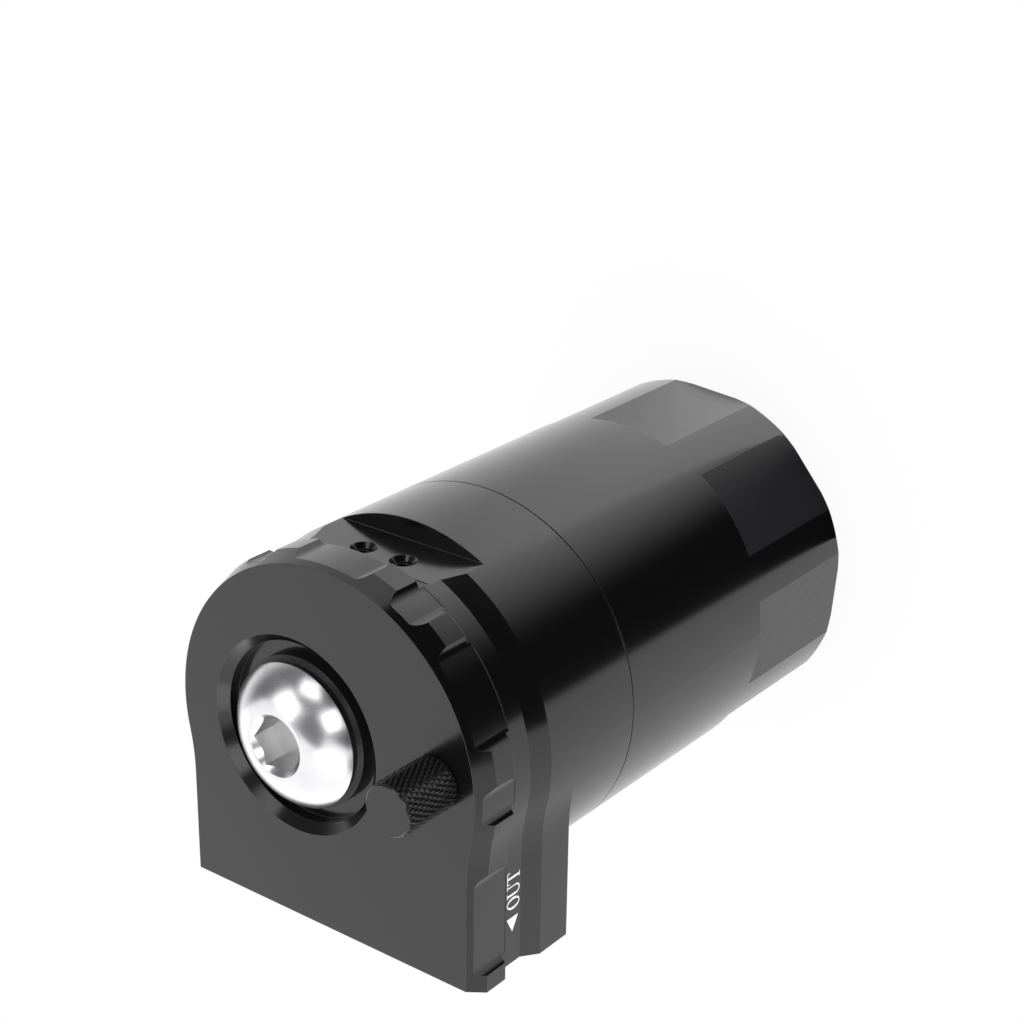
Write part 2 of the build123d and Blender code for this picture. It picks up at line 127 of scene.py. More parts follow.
def core(tree: Tree, place: Socket, radius_mm: float, top_mm: float) -> Socket:
    """Marks what lies near the Z axis and under a level.

    Args:
        tree: The material's tree.
        place: The position, counted from the axis.
        radius_mm: How far from the axis the mark reaches.
        top_mm: The level that it reaches up to.

    Returns:
        1 inside the mark and 0 elsewhere.
    """
    flat = add_node(tree, VECTOR, [place, IN_PLAN], operation="MULTIPLY")
    reach = add_node(tree, VECTOR, [flat], operation="LENGTH")
    near = add_node(tree, MATH, [reach.outputs["Value"], radius_mm * MM], operation="LESS_THAN")
    axes = add_node(tree, AXES, [place])
    below = add_node(tree, MATH, [axes.outputs["Z"], top_mm * MM], operation="LESS_THAN")
    return add_node(tree, MATH, [near, below], operation="MULTIPLY").outputs[0]


@dataclass(frozen=True)
class ThreadBand:
    """A screw thread cut on a round shank, for a finish that shows it as relief.

    Attributes:
        radius_mm: The shank's outside radius.
        top_mm: The level where the thread ends under its shoulder.
        pitch_mm: The rise of one turn.
        x_mm: Where the shank's axis stands along X.
        CLEARANCE_MM: How far past the shank's wall the relief reaches, so that the wall lies well inside it.
        DEPTH_SHARE: The thread's depth as a share of its pitch.
    """

    radius_mm: float
    top_mm: float
    pitch_mm: float
    x_mm: float = 0.0

    CLEARANCE_MM: ClassVar[float] = 0.1
    DEPTH_SHARE: ClassVar[float] = 0.55

    def from_axis(self, tree: Tree, place: Socket) -> Socket:
        """Returns the position counted from the shank's axis."""
        return add_node(tree, VECTOR, [place, (self.x_mm * MM, 0.0, 0.0)], operation="SUBTRACT").outputs[0]

    def height(self, tree: Tree, place: Socket) -> Socket:
        """Builds the relief of the thread.

        Args:
            tree: The material's tree.
            place: The position on the piece.

        Returns:
            A height from 0 in the root to 1 on the crest, and 0 away from the thread.
        """
        local = self.from_axis(tree, place)
        axes = add_node(tree, AXES, [local])
        angle = add_node(tree, MATH, [axes.outputs["Y"], axes.outputs["X"]], operation="ARCTAN2")
        turn = add_node(tree, MATH, [angle, FULL_TURN], operation="DIVIDE")
        rise = add_node(tree, MATH, [axes.outputs["Z"], self.pitch_mm * MM], operation="DIVIDE")
        phase = add_node(tree, MATH, [rise, turn], operation="SUBTRACT")
        tooth = add_node(tree, MATH, [phase, 0.5], operation="PINGPONG")
        crest = add_node(tree, MATH, [tooth, 2.0], operation="MULTIPLY")
        band = core(tree, local, self.radius_mm + self.CLEARANCE_MM, self.top_mm)
        return add_node(tree, MATH, [crest, band], operation="MULTIPLY").outputs[0]


@dataclass(frozen=True)
class Finish:
    """A surface finish, made as a material the first time that it is asked for.

    Attributes:
        name: What the material is and how it was made.
        EDGE_MATCH: How well the rounded and the flat normal agree where an edge starts, and where it is full.
    """

    name: str

    EDGE_MATCH: ClassVar[tuple[float, float]] = (0.985, 0.8)

    def material(self) -> bpy.types.Material:
        """Returns the finish's material, made on first use."""
        found = bpy.data.materials.get(self.name)
        if found is None:
            found = bpy.data.materials.new(self.name)
            tree = blank_tree(found)
            add_node(tree, "ShaderNodeOutputMaterial", {"Surface": self.shade(tree)})
        return found

    def shade(self, tree: Tree) -> Socket:
        """Builds the finish's nodes and returns the shader's output."""
        raise NotImplementedError

    def worn_and_glinting_edges(self, tree: Tree, radius_mm: float) -> tuple[Socket, Socket]:
        """Finds the piece's edges, which handling and tumbling round over; the anodise also paints them paler
        as a painted highlight.

        Args:
            tree: The material's tree.
            radius_mm: How far the edge is rounded.

        Returns:
            The normal with its edges rounded, and a mask that is 1 on the edges.
        """
        rounded = add_node(tree, "ShaderNodeBevel", {"Radius": radius_mm * MM}, samples=4)
        flat = add_node(tree, "ShaderNodeNewGeometry")
        match = add_node(tree, VECTOR, [rounded, flat.outputs["Normal"]], operation="DOT_PRODUCT")
        edge = add_node(tree, RANGE, [match.outputs["Value"], *self.EDGE_MATCH, 0.0, 1.0])
        return rounded.outputs[0], edge.outputs[0]

    def relief(self, tree: Tree, place: Socket, marks: Node, thread: ThreadBand | None,
               rounded: Socket) -> Socket:
        """Raises the tool's marks and the thread from the surface.

        Args:
            tree: The material's tree.
            place: The position on the piece.
            marks: The height of the tool's marks, in millimetres.
            thread: The thread cut on the piece, where it has one.
            rounded: The normal with its edges rounded.

        Returns:
            The normal of the raised surface.
        """
        height = marks
        if thread is not None:
            crest = thread.height(tree, place)
            depth = thread.DEPTH_SHARE * thread.pitch_mm
            height = add_node(tree, MATH, [crest, depth, marks], operation="MULTIPLY_ADD")
        raised = {"Strength": 1.0, "Distance": MM, "Height": height, "Normal": rounded}
        return add_node(tree, "ShaderNodeBump", raised).outputs[0]


@dataclass(frozen=True)
class BlackAnodise(Finish):
    """Aluminium turned and milled bright, then dyed black in the anodising bath and sealed.

    The sealed oxide is a clear glassy layer over the dye, so it reflects like a dark satin plastic: almost
    black seen straight on and pale at a glancing angle. The cutter's feed shows as fine rings round every wall,
    and the edges are painted paler: partly the dye thin where an edge was tumbled, partly a painted highlight.

    Attributes:
        dye: The dyed oxide's colour.
        faded: The dye where it took a little less.
        rubbed_and_glint: The colour on the edges: metal showing through the dye, and a painted highlight.
        roughness: The sealed surface's roughness.
        feed_mm: The spacing of the cutter's rings, drawn coarser than the real 0.1 mm so that it shows.
        ring_mm: The depth of the rings.
        grain_mm: The etched grain under the oxide.
        edge_mm: How far the edges are tumbled.
        milled_radius_mm: Walls nearer to the axis than this were milled with a coarser feed.
        milled_level_mm: The level under which they were.
        milled_feed_mm: The spacing of the milled lines, drawn coarser than the real 0.2 mm so that it shows.
        milled_ring_mm: The depth of the milled lines.
        milled_dye: The dye on them, greyer because the cut is rougher.
        milled_dulling: How much rougher they are.
        thread: The thread cut on the piece, where it has one.
        WALL_TILT: The upward part of the normal where the rings start to show, and where they show in full.
        CLOUD_MM: The size of the patches in which the dye and the sealing vary.
        CLOUD_DULLING: How much rougher the dullest patch is.
        RUB_AND_GLINT_SHARE: The span of the patches, and the share of an edge that is painted paler over it,
            partly rubbed dye and partly painted highlight.
        GLOSS: The sealed oxide's specular level.
    """

    dye: str = "#0a0a0b"
    faded: str = "#0f0f11"
    rubbed_and_glint: str = "#5c5c5f"
    roughness: float = 0.15
    feed_mm: float = 0.32
    ring_mm: float = 0.002
    grain_mm: float = 0.22
    edge_mm: float = 0.18
    milled_radius_mm: float = 0.0
    milled_level_mm: float = 0.0
    milled_feed_mm: float = 0.7
    milled_ring_mm: float = 0.02
    milled_dye: str = "#303033"
    milled_dulling: float = 0.16
    thread: ThreadBand | None = None

    WALL_TILT: ClassVar[tuple[float, float]] = (0.75, 0.4)
    CLOUD_MM: ClassVar[float] = 14.0
    CLOUD_DULLING: ClassVar[float] = 0.04
    RUB_AND_GLINT_SHARE: ClassVar[tuple[float, ...]] = (0.3, 0.7, 0.3, 0.9)
    GLOSS: ClassVar[float] = 0.6

    def shade(self, tree: Tree) -> Socket:
        """Builds the anodised surface and returns the shader's output."""
        place = add_node(tree, "ShaderNodeTexCoord").outputs["Object"]
        level = add_node(tree, AXES, [place]).outputs["Z"]
        rounded, edge = self.worn_and_glinting_edges(tree, self.edge_mm)
        # The cutter's rings lie round the axis, on walls only
        facing = add_node(tree, AXES, [add_node(tree, "ShaderNodeNewGeometry").outputs["Normal"]])
        upright = add_node(tree, MATH, [facing.outputs["Z"]], operation="ABSOLUTE")
        wall = add_node(tree, RANGE, [upright, *self.WALL_TILT, 0.0, 1.0])
        lathe = {"W": level, "Scale": 1 / (self.feed_mm * MM), "Detail": 2.0, "Roughness": 0.65}
        rings = add_node(tree, NOISE, lathe, noise_dimensions="1D")
        cut = add_node(tree, MATH, [rings, wall], operation="MULTIPLY")
        grain = add_node(tree, NOISE, {"Vector": place, "Scale": 1 / (self.grain_mm * MM), "Detail": 1.0})
        cloud = add_node(tree, NOISE, {"Vector": place, "Scale": 1 / (self.CLOUD_MM * MM), "Detail": 1.0})
        # Dye thins on the edges, unevenly, and the paler edges also stand in for a painted highlight
        patchy = add_node(tree, RANGE, [cloud, *self.RUB_AND_GLINT_SHARE])
        rub_and_glint = add_node(tree, MATH, [edge, patchy], operation="MULTIPLY")
        # Flats keep a coarser feed than the turned wall, so they are duller and greyer
        milled = core(tree, place, self.milled_radius_mm, self.milled_level_mm)
        feed = add_node(tree, MATH, [level, self.milled_feed_mm * MM], operation="DIVIDE")
        line = add_node(tree, MATH, [feed, 0.5], operation="PINGPONG")
        score = add_node(tree, MATH, [line, milled], operation="MULTIPLY")
        cover = add_node(tree, MATH, [score, 2.0], operation="MULTIPLY")
        colour = linear(self.dye)
        for share, shade in ((grain, self.faded), (cover, self.milled_dye), (rub_and_glint, self.rubbed_and_glint)):
            colour = add_node(tree, MIX, {0: share, 6: colour, 7: linear(shade)}, data_type="RGBA").outputs[2]
        dullest = self.roughness + self.milled_dulling
        satin = add_node(tree, RANGE, [milled, 0.0, 1.0, self.roughness, dullest])
        rough = add_node(tree, MATH, [cloud, self.CLOUD_DULLING, satin], operation="MULTIPLY_ADD")
        # Relief in millimetres: rings, milled lines and thread
        turned = add_node(tree, MATH, [cut, self.ring_mm], operation="MULTIPLY")
        marks = add_node(tree, MATH, [score, 2 * self.milled_ring_mm, turned], operation="MULTIPLY_ADD")
        normal = self.relief(tree, place, marks, self.thread, rounded)
        surface = {"Base Color": colour, "Roughness": rough, "Metallic": 0.0, "Normal": normal,
                   "Specular IOR Level": self.GLOSS}
        return add_node(tree, "ShaderNodeBsdfPrincipled", surface).outputs[0]


@dataclass(frozen=True)
class BareMetal(Finish):
    """Bare metal, turned, drawn or polished.

    Attributes:
        colour: The clean metal.
        tarnish: The metal where it has dulled.
        roughness: How dull the surface is.
        feed_mm: The spacing of the tool's rings.
        relief_mm: The depth of the rings.
        edge_mm: How far the edges are broken.
        thread: The thread cut on the piece, where it has one.
        socket_mm: The radius about the thread's axis inside which the head's socket was forged and left dull.
        socket_top_mm: The level where the socket's turned mouth ends.
        forged_colour_and_painted_light: The forged metal, lifted paler as painted light against the shade
            inside the socket.
        CLOUD_MM: The size of the patches in which the metal has dulled.
        TARNISHED_SHARE: The span of the patches, and the share of tarnish over it.
        DULLING: The span of the patches over which the metal goes dull.
        DULL_SPREAD: The roughness of the brightest and the dullest patch, as shares of the plain one.
        FORGED_DULLING: How much rougher the forged metal is.
    """

    colour: str = "#c9c9cc"
    tarnish: str = "#98989c"
    roughness: float = 0.25
    feed_mm: float = 0.25
    relief_mm: float = 0.003
    edge_mm: float = 0.1
    thread: ThreadBand | None = None
    socket_mm: float = 0.0
    socket_top_mm: float = 0.0
    forged_colour_and_painted_light: str = "#d2d2d2"

    CLOUD_MM: ClassVar[float] = 5.0
    TARNISHED_SHARE: ClassVar[tuple[float, ...]] = (0.35, 0.75, 0.0, 0.6)
    DULLING: ClassVar[tuple[float, float]] = (0.3, 0.7)
    DULL_SPREAD: ClassVar[tuple[float, float]] = (0.85, 1.25)
    FORGED_DULLING: ClassVar[float] = 0.1

    def shade(self, tree: Tree) -> Socket:
        """Builds the metal's surface and returns the shader's output."""
        place = add_node(tree, "ShaderNodeTexCoord").outputs["Object"]
        level = add_node(tree, AXES, [place]).outputs["Z"]
        rounded, edge = self.worn_and_glinting_edges(tree, self.edge_mm)
        lathe = {"W": level, "Scale": 1 / (self.feed_mm * MM), "Detail": 2.0}
        rings = add_node(tree, NOISE, lathe, noise_dimensions="1D")
        cloud = add_node(tree, NOISE, {"Vector": place, "Scale": 1 / (self.CLOUD_MM * MM), "Detail": 4.0})
        # Tarnish lies in patches and is rubbed off the edges
        dull = add_node(tree, RANGE, [cloud, *self.TARNISHED_SHARE])
        left = add_node(tree, MATH, [dull, edge], operation="SUBTRACT", use_clamp=True)
        metal = {0: left, 6: linear(self.colour), 7: linear(self.tarnish)}
        colour = add_node(tree, MIX, metal, data_type="RGBA").outputs[2]
        spread = [self.roughness * share for share in self.DULL_SPREAD]
        rough = add_node(tree, RANGE, [cloud, *self.DULLING, *spread])
        if self.thread is not None and self.socket_mm > 0:
            # The socket's colour is partly the forged metal and partly painted light, lifted paler against the
            # shade inside it
            forged = core(tree, self.thread.from_axis(tree, place), self.socket_mm, self.socket_top_mm)
            metal = {0: forged, 6: colour, 7: linear(self.forged_colour_and_painted_light)}
            colour = add_node(tree, MIX, metal, data_type="RGBA").outputs[2]
            rough = add_node(tree, MATH, [forged, self.FORGED_DULLING, rough], operation="MULTIPLY_ADD")
        # Relief in millimetres: rings and thread
        marks = add_node(tree, MATH, [rings, self.relief_mm], operation="MULTIPLY")
        normal = self.relief(tree, place, marks, self.thread, rounded)
        surface = {"Base Color": colour, "Roughness": rough, "Metallic": 1.0, "Normal": normal}
        return add_node(tree, "ShaderNodeBsdfPrincipled", surface).outputs[0]


@dataclass(frozen=True)
class GrainedSolid(Finish):
    """A dull material with a grain of its own: moulded rubber, pressed fibre, printed ink or sintered beads.

    Attributes:
        light: The grain's lighter colour.
        dark: The grain's darker colour.
        grain_mm: The size of the grain.
        relief_mm: How far the grain stands up.
        roughness: How dull the surface is.
        metallic: 1 for a metal and 0 for anything else.
        beads: Whether the grain is round beads rather than a loose cloud.
        DULLING: The span of the grain over which the roughness changes.
        DULL_SPREAD: What the grain's hollows and tops add to the roughness.
        RELIEF_SHARE: The share of the relief that shows.
    """

    light: str = "#1b1b1b"
    dark: str = "#0b0b0b"
    grain_mm: float = 0.3
    relief_mm: float = 0.02
    roughness: float = 0.55
    metallic: float = 0.0
    beads: bool = False

    DULLING: ClassVar[tuple[float, float]] = (0.2, 0.8)
    DULL_SPREAD: ClassVar[tuple[float, float]] = (0.08, -0.05)
    RELIEF_SHARE: ClassVar[float] = 0.6

    def shade(self, tree: Tree) -> Socket:
        """Builds the grain and returns the shader's output."""
        place = add_node(tree, "ShaderNodeTexCoord").outputs["Object"]
        scale = 1 / (self.grain_mm * MM)
        if self.beads:
            cell = add_node(tree, "ShaderNodeTexVoronoi", {"Vector": place, "Scale": scale})
            grain = add_node(tree, RANGE, [cell.outputs["Distance"], 0.0, 0.8, 1.0, 0.0])
        else:
            grain = add_node(tree, NOISE, {"Vector": place, "Scale": scale, "Detail": 4.0})
        tones = {0: grain, 6: linear(self.dark), 7: linear(self.light)}
        colour = add_node(tree, MIX, tones, data_type="RGBA").outputs[2]
        spread = [self.roughness + change for change in self.DULL_SPREAD]
        rough = add_node(tree, RANGE, [grain, *self.DULLING, *spread])
        raised = {"Strength": self.RELIEF_SHARE, "Distance": self.relief_mm * MM, "Height": grain}
        normal = add_node(tree, "ShaderNodeBump", raised)
        surface = {"Base Color": colour, "Roughness": rough, "Metallic": self.metallic, "Normal": normal}
        return add_node(tree, "ShaderNodeBsdfPrincipled", surface).outputs[0]


HEAD_ANODISE = BlackAnodise("black_anodised_aluminium_head", ring_mm=0.004,
                            thread=ThreadBand(31.0, 74.0, 2.0))
CUP_ANODISE = BlackAnodise("black_anodised_aluminium_cup", milled_radius_mm=34.95, milled_level_mm=31.02)
# The knob's edges are painted paler still: partly rubbed dye, partly a painted highlight on the knurl
KNOB_ANODISE = BlackAnodise("black_anodised_aluminium_knurled", rubbed_and_glint="#77777a", roughness=0.18,
                            edge_mm=0.045)
# Stainless steel, cold headed and mechanically polished: mirror bright, with hardly visible rings
PLUG_STEEL = BareMetal("polished_stainless_steel", "#e6e6e8", "#dadadd", 0.23, 0.5, 0.0004, 0.2,
                       thread=ThreadBand(9.0, 115.6, 1.5, -6.7), socket_mm=5.55, socket_top_mm=121.36)
# Stainless bar and screws, drawn bright
BRIGHT_STEEL = BareMetal("bright_stainless_steel", "#b9b9bc", "#8f8f94", 0.24)
# Aluminium sheet, tube and rod, turned and left bare: pale, with a clear feed mark
TURNED_ALUMINIUM = BareMetal("bare_turned_aluminium", "#cfd0d3", "#a3a4a8", 0.32, 0.3, 0.005)
# Brass hexagon bar, turned: warm yellow, browner where handled
TURNED_BRASS = BareMetal("turned_brass", "#d6b36a", "#a98645", 0.28, 0.3, 0.004)
# Stainless wire, drawn and knitted
KNIT_WIRE = BareMetal("knitted_stainless_wire", "#a9a9ad", "#77777c", 0.3)
# Steel ring with a black oxide finish: dull and slightly mottled
OXIDE_STEEL = GrainedSolid("black_oxide_steel", "#1c1c1e", "#0e0e0f", 0.5, 0.006, 0.42)
# Nitrile rubber, moulded: matt black with a faint bloom
NITRILE = GrainedSolid("moulded_nitrile_rubber", "#1d1d1d", "#0c0c0c", 0.35, 0.02, 0.6)
# Vulcanised fibre, pressed and punched: rust red with short fibres
RED_FIBRE = GrainedSolid("vulcanised_red_fibre", "#9a4034", "#6e2a22", 0.4, 0.03, 0.7)
# Bronze beads, sintered into a porous wall
SINTERED_BRONZE = GrainedSolid("sintered_bronze", "#a97c46", "#4c3218", 0.55, 0.2, 0.45, 1.0, True)
# White marking on the anodise, printed: slightly off white, with a dry edge
WHITE_MARK = GrainedSolid("white_printed_marking", "#ffffff", "#f0f0ee", 0.2, 0.004, 0.55)


def node_tool(name: str, sizes: Sizes) -> tuple[Tree, dict[str, Socket]]:
    """Starts a Geometry Nodes tree with named inputs.

    Args:
        name: The tree's name.
        sizes: The inputs and their defaults, whole numbers for counts and lengths in metres.

    Returns:
        The tree, and the socket of each input by name.
    """
    tree = bpy.data.node_groups.new(name, "GeometryNodeTree")
    tree.interface.new_socket("Geometry", in_out="OUTPUT", socket_type="NodeSocketGeometry")
    for label, value in sizes.items():
        kind = "NodeSocketInt" if isinstance(value, int) else "NodeSocketFloat"
        tree.interface.new_socket(label, in_out="INPUT", socket_type=kind).default_value = value
    tree.interface.new_socket("Finish", in_out="INPUT", socket_type="NodeSocketMaterial")
    entry = add_node(tree, "NodeGroupInput")
    return tree, {socket.name: socket for socket in entry.outputs if socket.name}


def end_tool(tree: Tree, shape: Node, finish: Socket) -> None:
    """Ends a Geometry Nodes tree in a real mesh with its finish.

    Args:
        tree: The tree.
        shape: The node that gives the geometry so far.
        finish: The material input.
    """
    real = add_node(tree, "GeometryNodeRealizeInstances", [shape])
    dressed = add_node(tree, "GeometryNodeSetMaterial", {"Geometry": real, "Material": finish})
    add_node(tree, "NodeGroupOutput", [dressed])


def run_tool(tree: Tree, name: str, sizes: Sizes, finish: Finish) -> bpy.types.Object:
    """Runs a Geometry Nodes tree and keeps its result as a plain mesh.

    Args:
        tree: The tree.
        name: The piece's name.
        sizes: The tree's inputs by name.
        finish: The piece's finish.

    Returns:
        The piece, at the origin.
    """
    host = as_piece(name + "_host", bpy.data.meshes.new(name + "_host"))
    modifier = host.modifiers.new("shape", "NODES")
    modifier.node_group = tree
    values = dict(sizes, Finish=finish.material())
    for item in tree.interface.items_tree:
        if item.in_out == "INPUT" and item.name in values:
            modifier[item.identifier] = values[item.name]
    graph = bpy.context.evaluated_depsgraph_get()
    mesh = bpy.data.meshes.new_from_object(host.evaluated_get(graph), depsgraph=graph)
    host.modifiers.remove(modifier)
    bpy.data.objects.remove(host)
    return as_piece(name, mesh)


def as_piece(name: str, data: bpy.types.ID) -> bpy.types.Object:
    """Links a mesh, a light or a camera to the scene as an object of that name."""
    data.name = name
    piece = bpy.data.objects.new(name, data)
    bpy.context.scene.collection.objects.link(piece)
    return piece


def tidy_mesh(mesh: bpy.types.Mesh, place: Matrix) -> None:
    """Puts a mesh in its place, merges its doubles and turns its faces outwards.

    Args:
        mesh: The mesh.
        place: Where it goes, in metres.
    """
    work = bmesh.new()
    work.from_mesh(mesh)
    bmesh.ops.transform(work, matrix=place, verts=work.verts)
    bmesh.ops.remove_doubles(work, verts=work.verts, dist=MERGE_M)
    bmesh.ops.recalc_face_normals(work, faces=work.faces)
    work.to_mesh(mesh)
    work.free()


def dress_node(name: str, finish: Finish) -> None:
    """Gives a solid of the model its finish.

    Args:
        name: The solid's name.
        finish: Its finish.
    """
    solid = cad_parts[name]
    if not solid.material_slots:
        solid.data.materials.append(None)
    for slot in solid.material_slots:
        slot.material = finish.material()
    LOG.info("%s: %s", name, finish.name)


def add_piece(piece: bpy.types.Object, body: str) -> None:
    """Ties a piece of the scene to its body.

    Args:
        piece: The piece.
        body: The body that it moves with.
    """
    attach(piece, body)
    LOG.info("%s: rides on %s, %d faces", piece.name, body, len(piece.data.polygons))


def thread_tool() -> Tree:
    """Builds the tree of a tapped thread: a ridge of diamond section wound up the wall of a hole.

    Returns:
        The tree, with the hole's radius, the turns, the length and the ridge's depth as inputs.
    """
    tree, size = node_tool("tapped_thread", {"Radius": 0.004, "Turns": 8.0, "Length": 0.01, "Depth": 0.0004,
                                             "Steps": 48})
    winding = {"Resolution": size["Steps"], "Rotations": size["Turns"], "Start Radius": size["Radius"],
               "End Radius": size["Radius"], "Height": size["Length"], "Reverse": True}
    path = add_node(tree, "GeometryNodeCurveSpiral", winding)
    upright = add_node(tree, "GeometryNodeSetCurveNormal", [path], mode="Z_UP")
    section = add_node(tree, "GeometryNodeCurvePrimitiveCircle", {"Resolution": 4, "Radius": size["Depth"]})
    ridge = add_node(tree, "GeometryNodeCurveToMesh", {0: upright, 1: section, "Fill Caps": True})
    end_tool(tree, ridge, size["Finish"])
    return tree


def knurl_tool() -> Tree:
    """Builds the tree of a diamond knurl: two crossing sets of V grooves rolled into a round wall.

    Returns:
        The tree, with the groove's radius and depth, the wall's length, the grooves round it, the turns that
        each set makes over the length, the share of the length that the grooves fade over, and the grid's two
        counts.
    """
    tree, size = node_tool("diamond_knurl", {"Root": 0.0047, "Depth": 0.0003, "Length": 0.012,
                                             "Grooves": 30.0, "Crossings": 6.5, "Fade": 0.02,
                                             "Across": 241, "Along": 61})
    counts = {"Size X": 1.0, "Size Y": 1.0, "Vertices X": size["Across"], "Vertices Y": size["Along"]}
    grid = add_node(tree, "GeometryNodeMeshGrid", counts)
    spot = add_node(tree, AXES, [add_node(tree, "GeometryNodeInputPosition")])
    turn = add_node(tree, MATH, [spot.outputs["X"], 0.5], operation="ADD")
    along = add_node(tree, MATH, [spot.outputs["Y"], 0.5], operation="ADD")
    # Two sets of grooves, one of each hand, leave pyramids between them
    wind = add_node(tree, MATH, [turn, size["Grooves"]], operation="MULTIPLY")
    climb = add_node(tree, MATH, [along, size["Crossings"]], operation="MULTIPLY")
    hands = [add_node(tree, MATH, [wind, climb], operation=hand) for hand in ("ADD", "SUBTRACT")]
    roofs = [add_node(tree, MATH, [hand, 0.5], operation="PINGPONG") for hand in hands]
    tooth = add_node(tree, MATH, roofs, operation="MINIMUM")
    inset = add_node(tree, MATH, [along, 0.5], operation="PINGPONG")
    fade = add_node(tree, RANGE, [inset, 0.0, size["Fade"], 0.0, 2.0])
    rise = add_node(tree, MATH, [tooth, fade], operation="MULTIPLY")
    reach = add_node(tree, MATH, [rise, size["Depth"], size["Root"]], operation="MULTIPLY_ADD")
    # The grid is rolled up into the wall
    angle = add_node(tree, MATH, [turn, FULL_TURN], operation="MULTIPLY")
    across = [add_node(tree, MATH, [angle], operation=wave) for wave in ("COSINE", "SINE")]
    outward = add_node(tree, JOIN, across)
    ring = add_node(tree, VECTOR, {0: outward, "Scale": reach}, operation="SCALE")
    lift = add_node(tree, MATH, [along, size["Length"]], operation="MULTIPLY")
    level = add_node(tree, JOIN, {2: lift})
    place = add_node(tree, VECTOR, [ring, level], operation="ADD")
    wall = add_node(tree, "GeometryNodeSetPosition", {"Geometry": grid, "Position": place})
    closed = add_node(tree, "GeometryNodeMergeByDistance", {"Geometry": wall, "Distance": MERGE_M})
    end_tool(tree, closed, size["Finish"])
    return tree


def knit_stitch(tree: Tree, size: dict[str, Socket]) -> Node:
    """Bends one stitch of the knitted pad: a bulging loop of wire.

    Args:
        tree: The pad's tree.
        size: The tree's inputs.

    Returns:
        The node that gives the stitch.
    """
    ends = {"Start": (0.0, 0.0, 0.0), "End": (1.0, 0.0, 0.0)}
    straight = add_node(tree, "GeometryNodeCurvePrimitiveLine", ends)
    wire = add_node(tree, "GeometryNodeResampleCurve", {"Curve": straight, "Count": STITCH_POINTS})
    share = add_node(tree, "GeometryNodeSplineParameter").outputs["Factor"]
    once = add_node(tree, MATH, [share, FULL_TURN], operation="MULTIPLY")
    twice = add_node(tree, MATH, [share, 2 * FULL_TURN], operation="MULTIPLY")
    bulge = add_node(tree, MATH, [twice], operation="SINE")
    sweep = add_node(tree, MATH, [bulge, STITCH_BULGE, share], operation="MULTIPLY_ADD")
    middle = add_node(tree, MATH, [sweep, 0.5], operation="SUBTRACT")
    swing = add_node(tree, MATH, [once], operation="COSINE")
    wave = add_node(tree, MATH, [twice], operation="COSINE")
    bends = ((middle, "Loop"), (swing, "Course"), (wave, "Crimp"))
    path = add_node(tree, JOIN, [add_node(tree, MATH, [bend, size[name]], operation="MULTIPLY")
                                 for bend, name in bends])
    loop = add_node(tree, "GeometryNodeSetPosition", {"Geometry": wire, "Position": path})
    section = add_node(tree, "GeometryNodeCurvePrimitiveCircle", {"Resolution": 3, "Radius": size["Wire"]})
    return add_node(tree, "GeometryNodeCurveToMesh", {0: loop, 1: section, "Fill Caps": True})


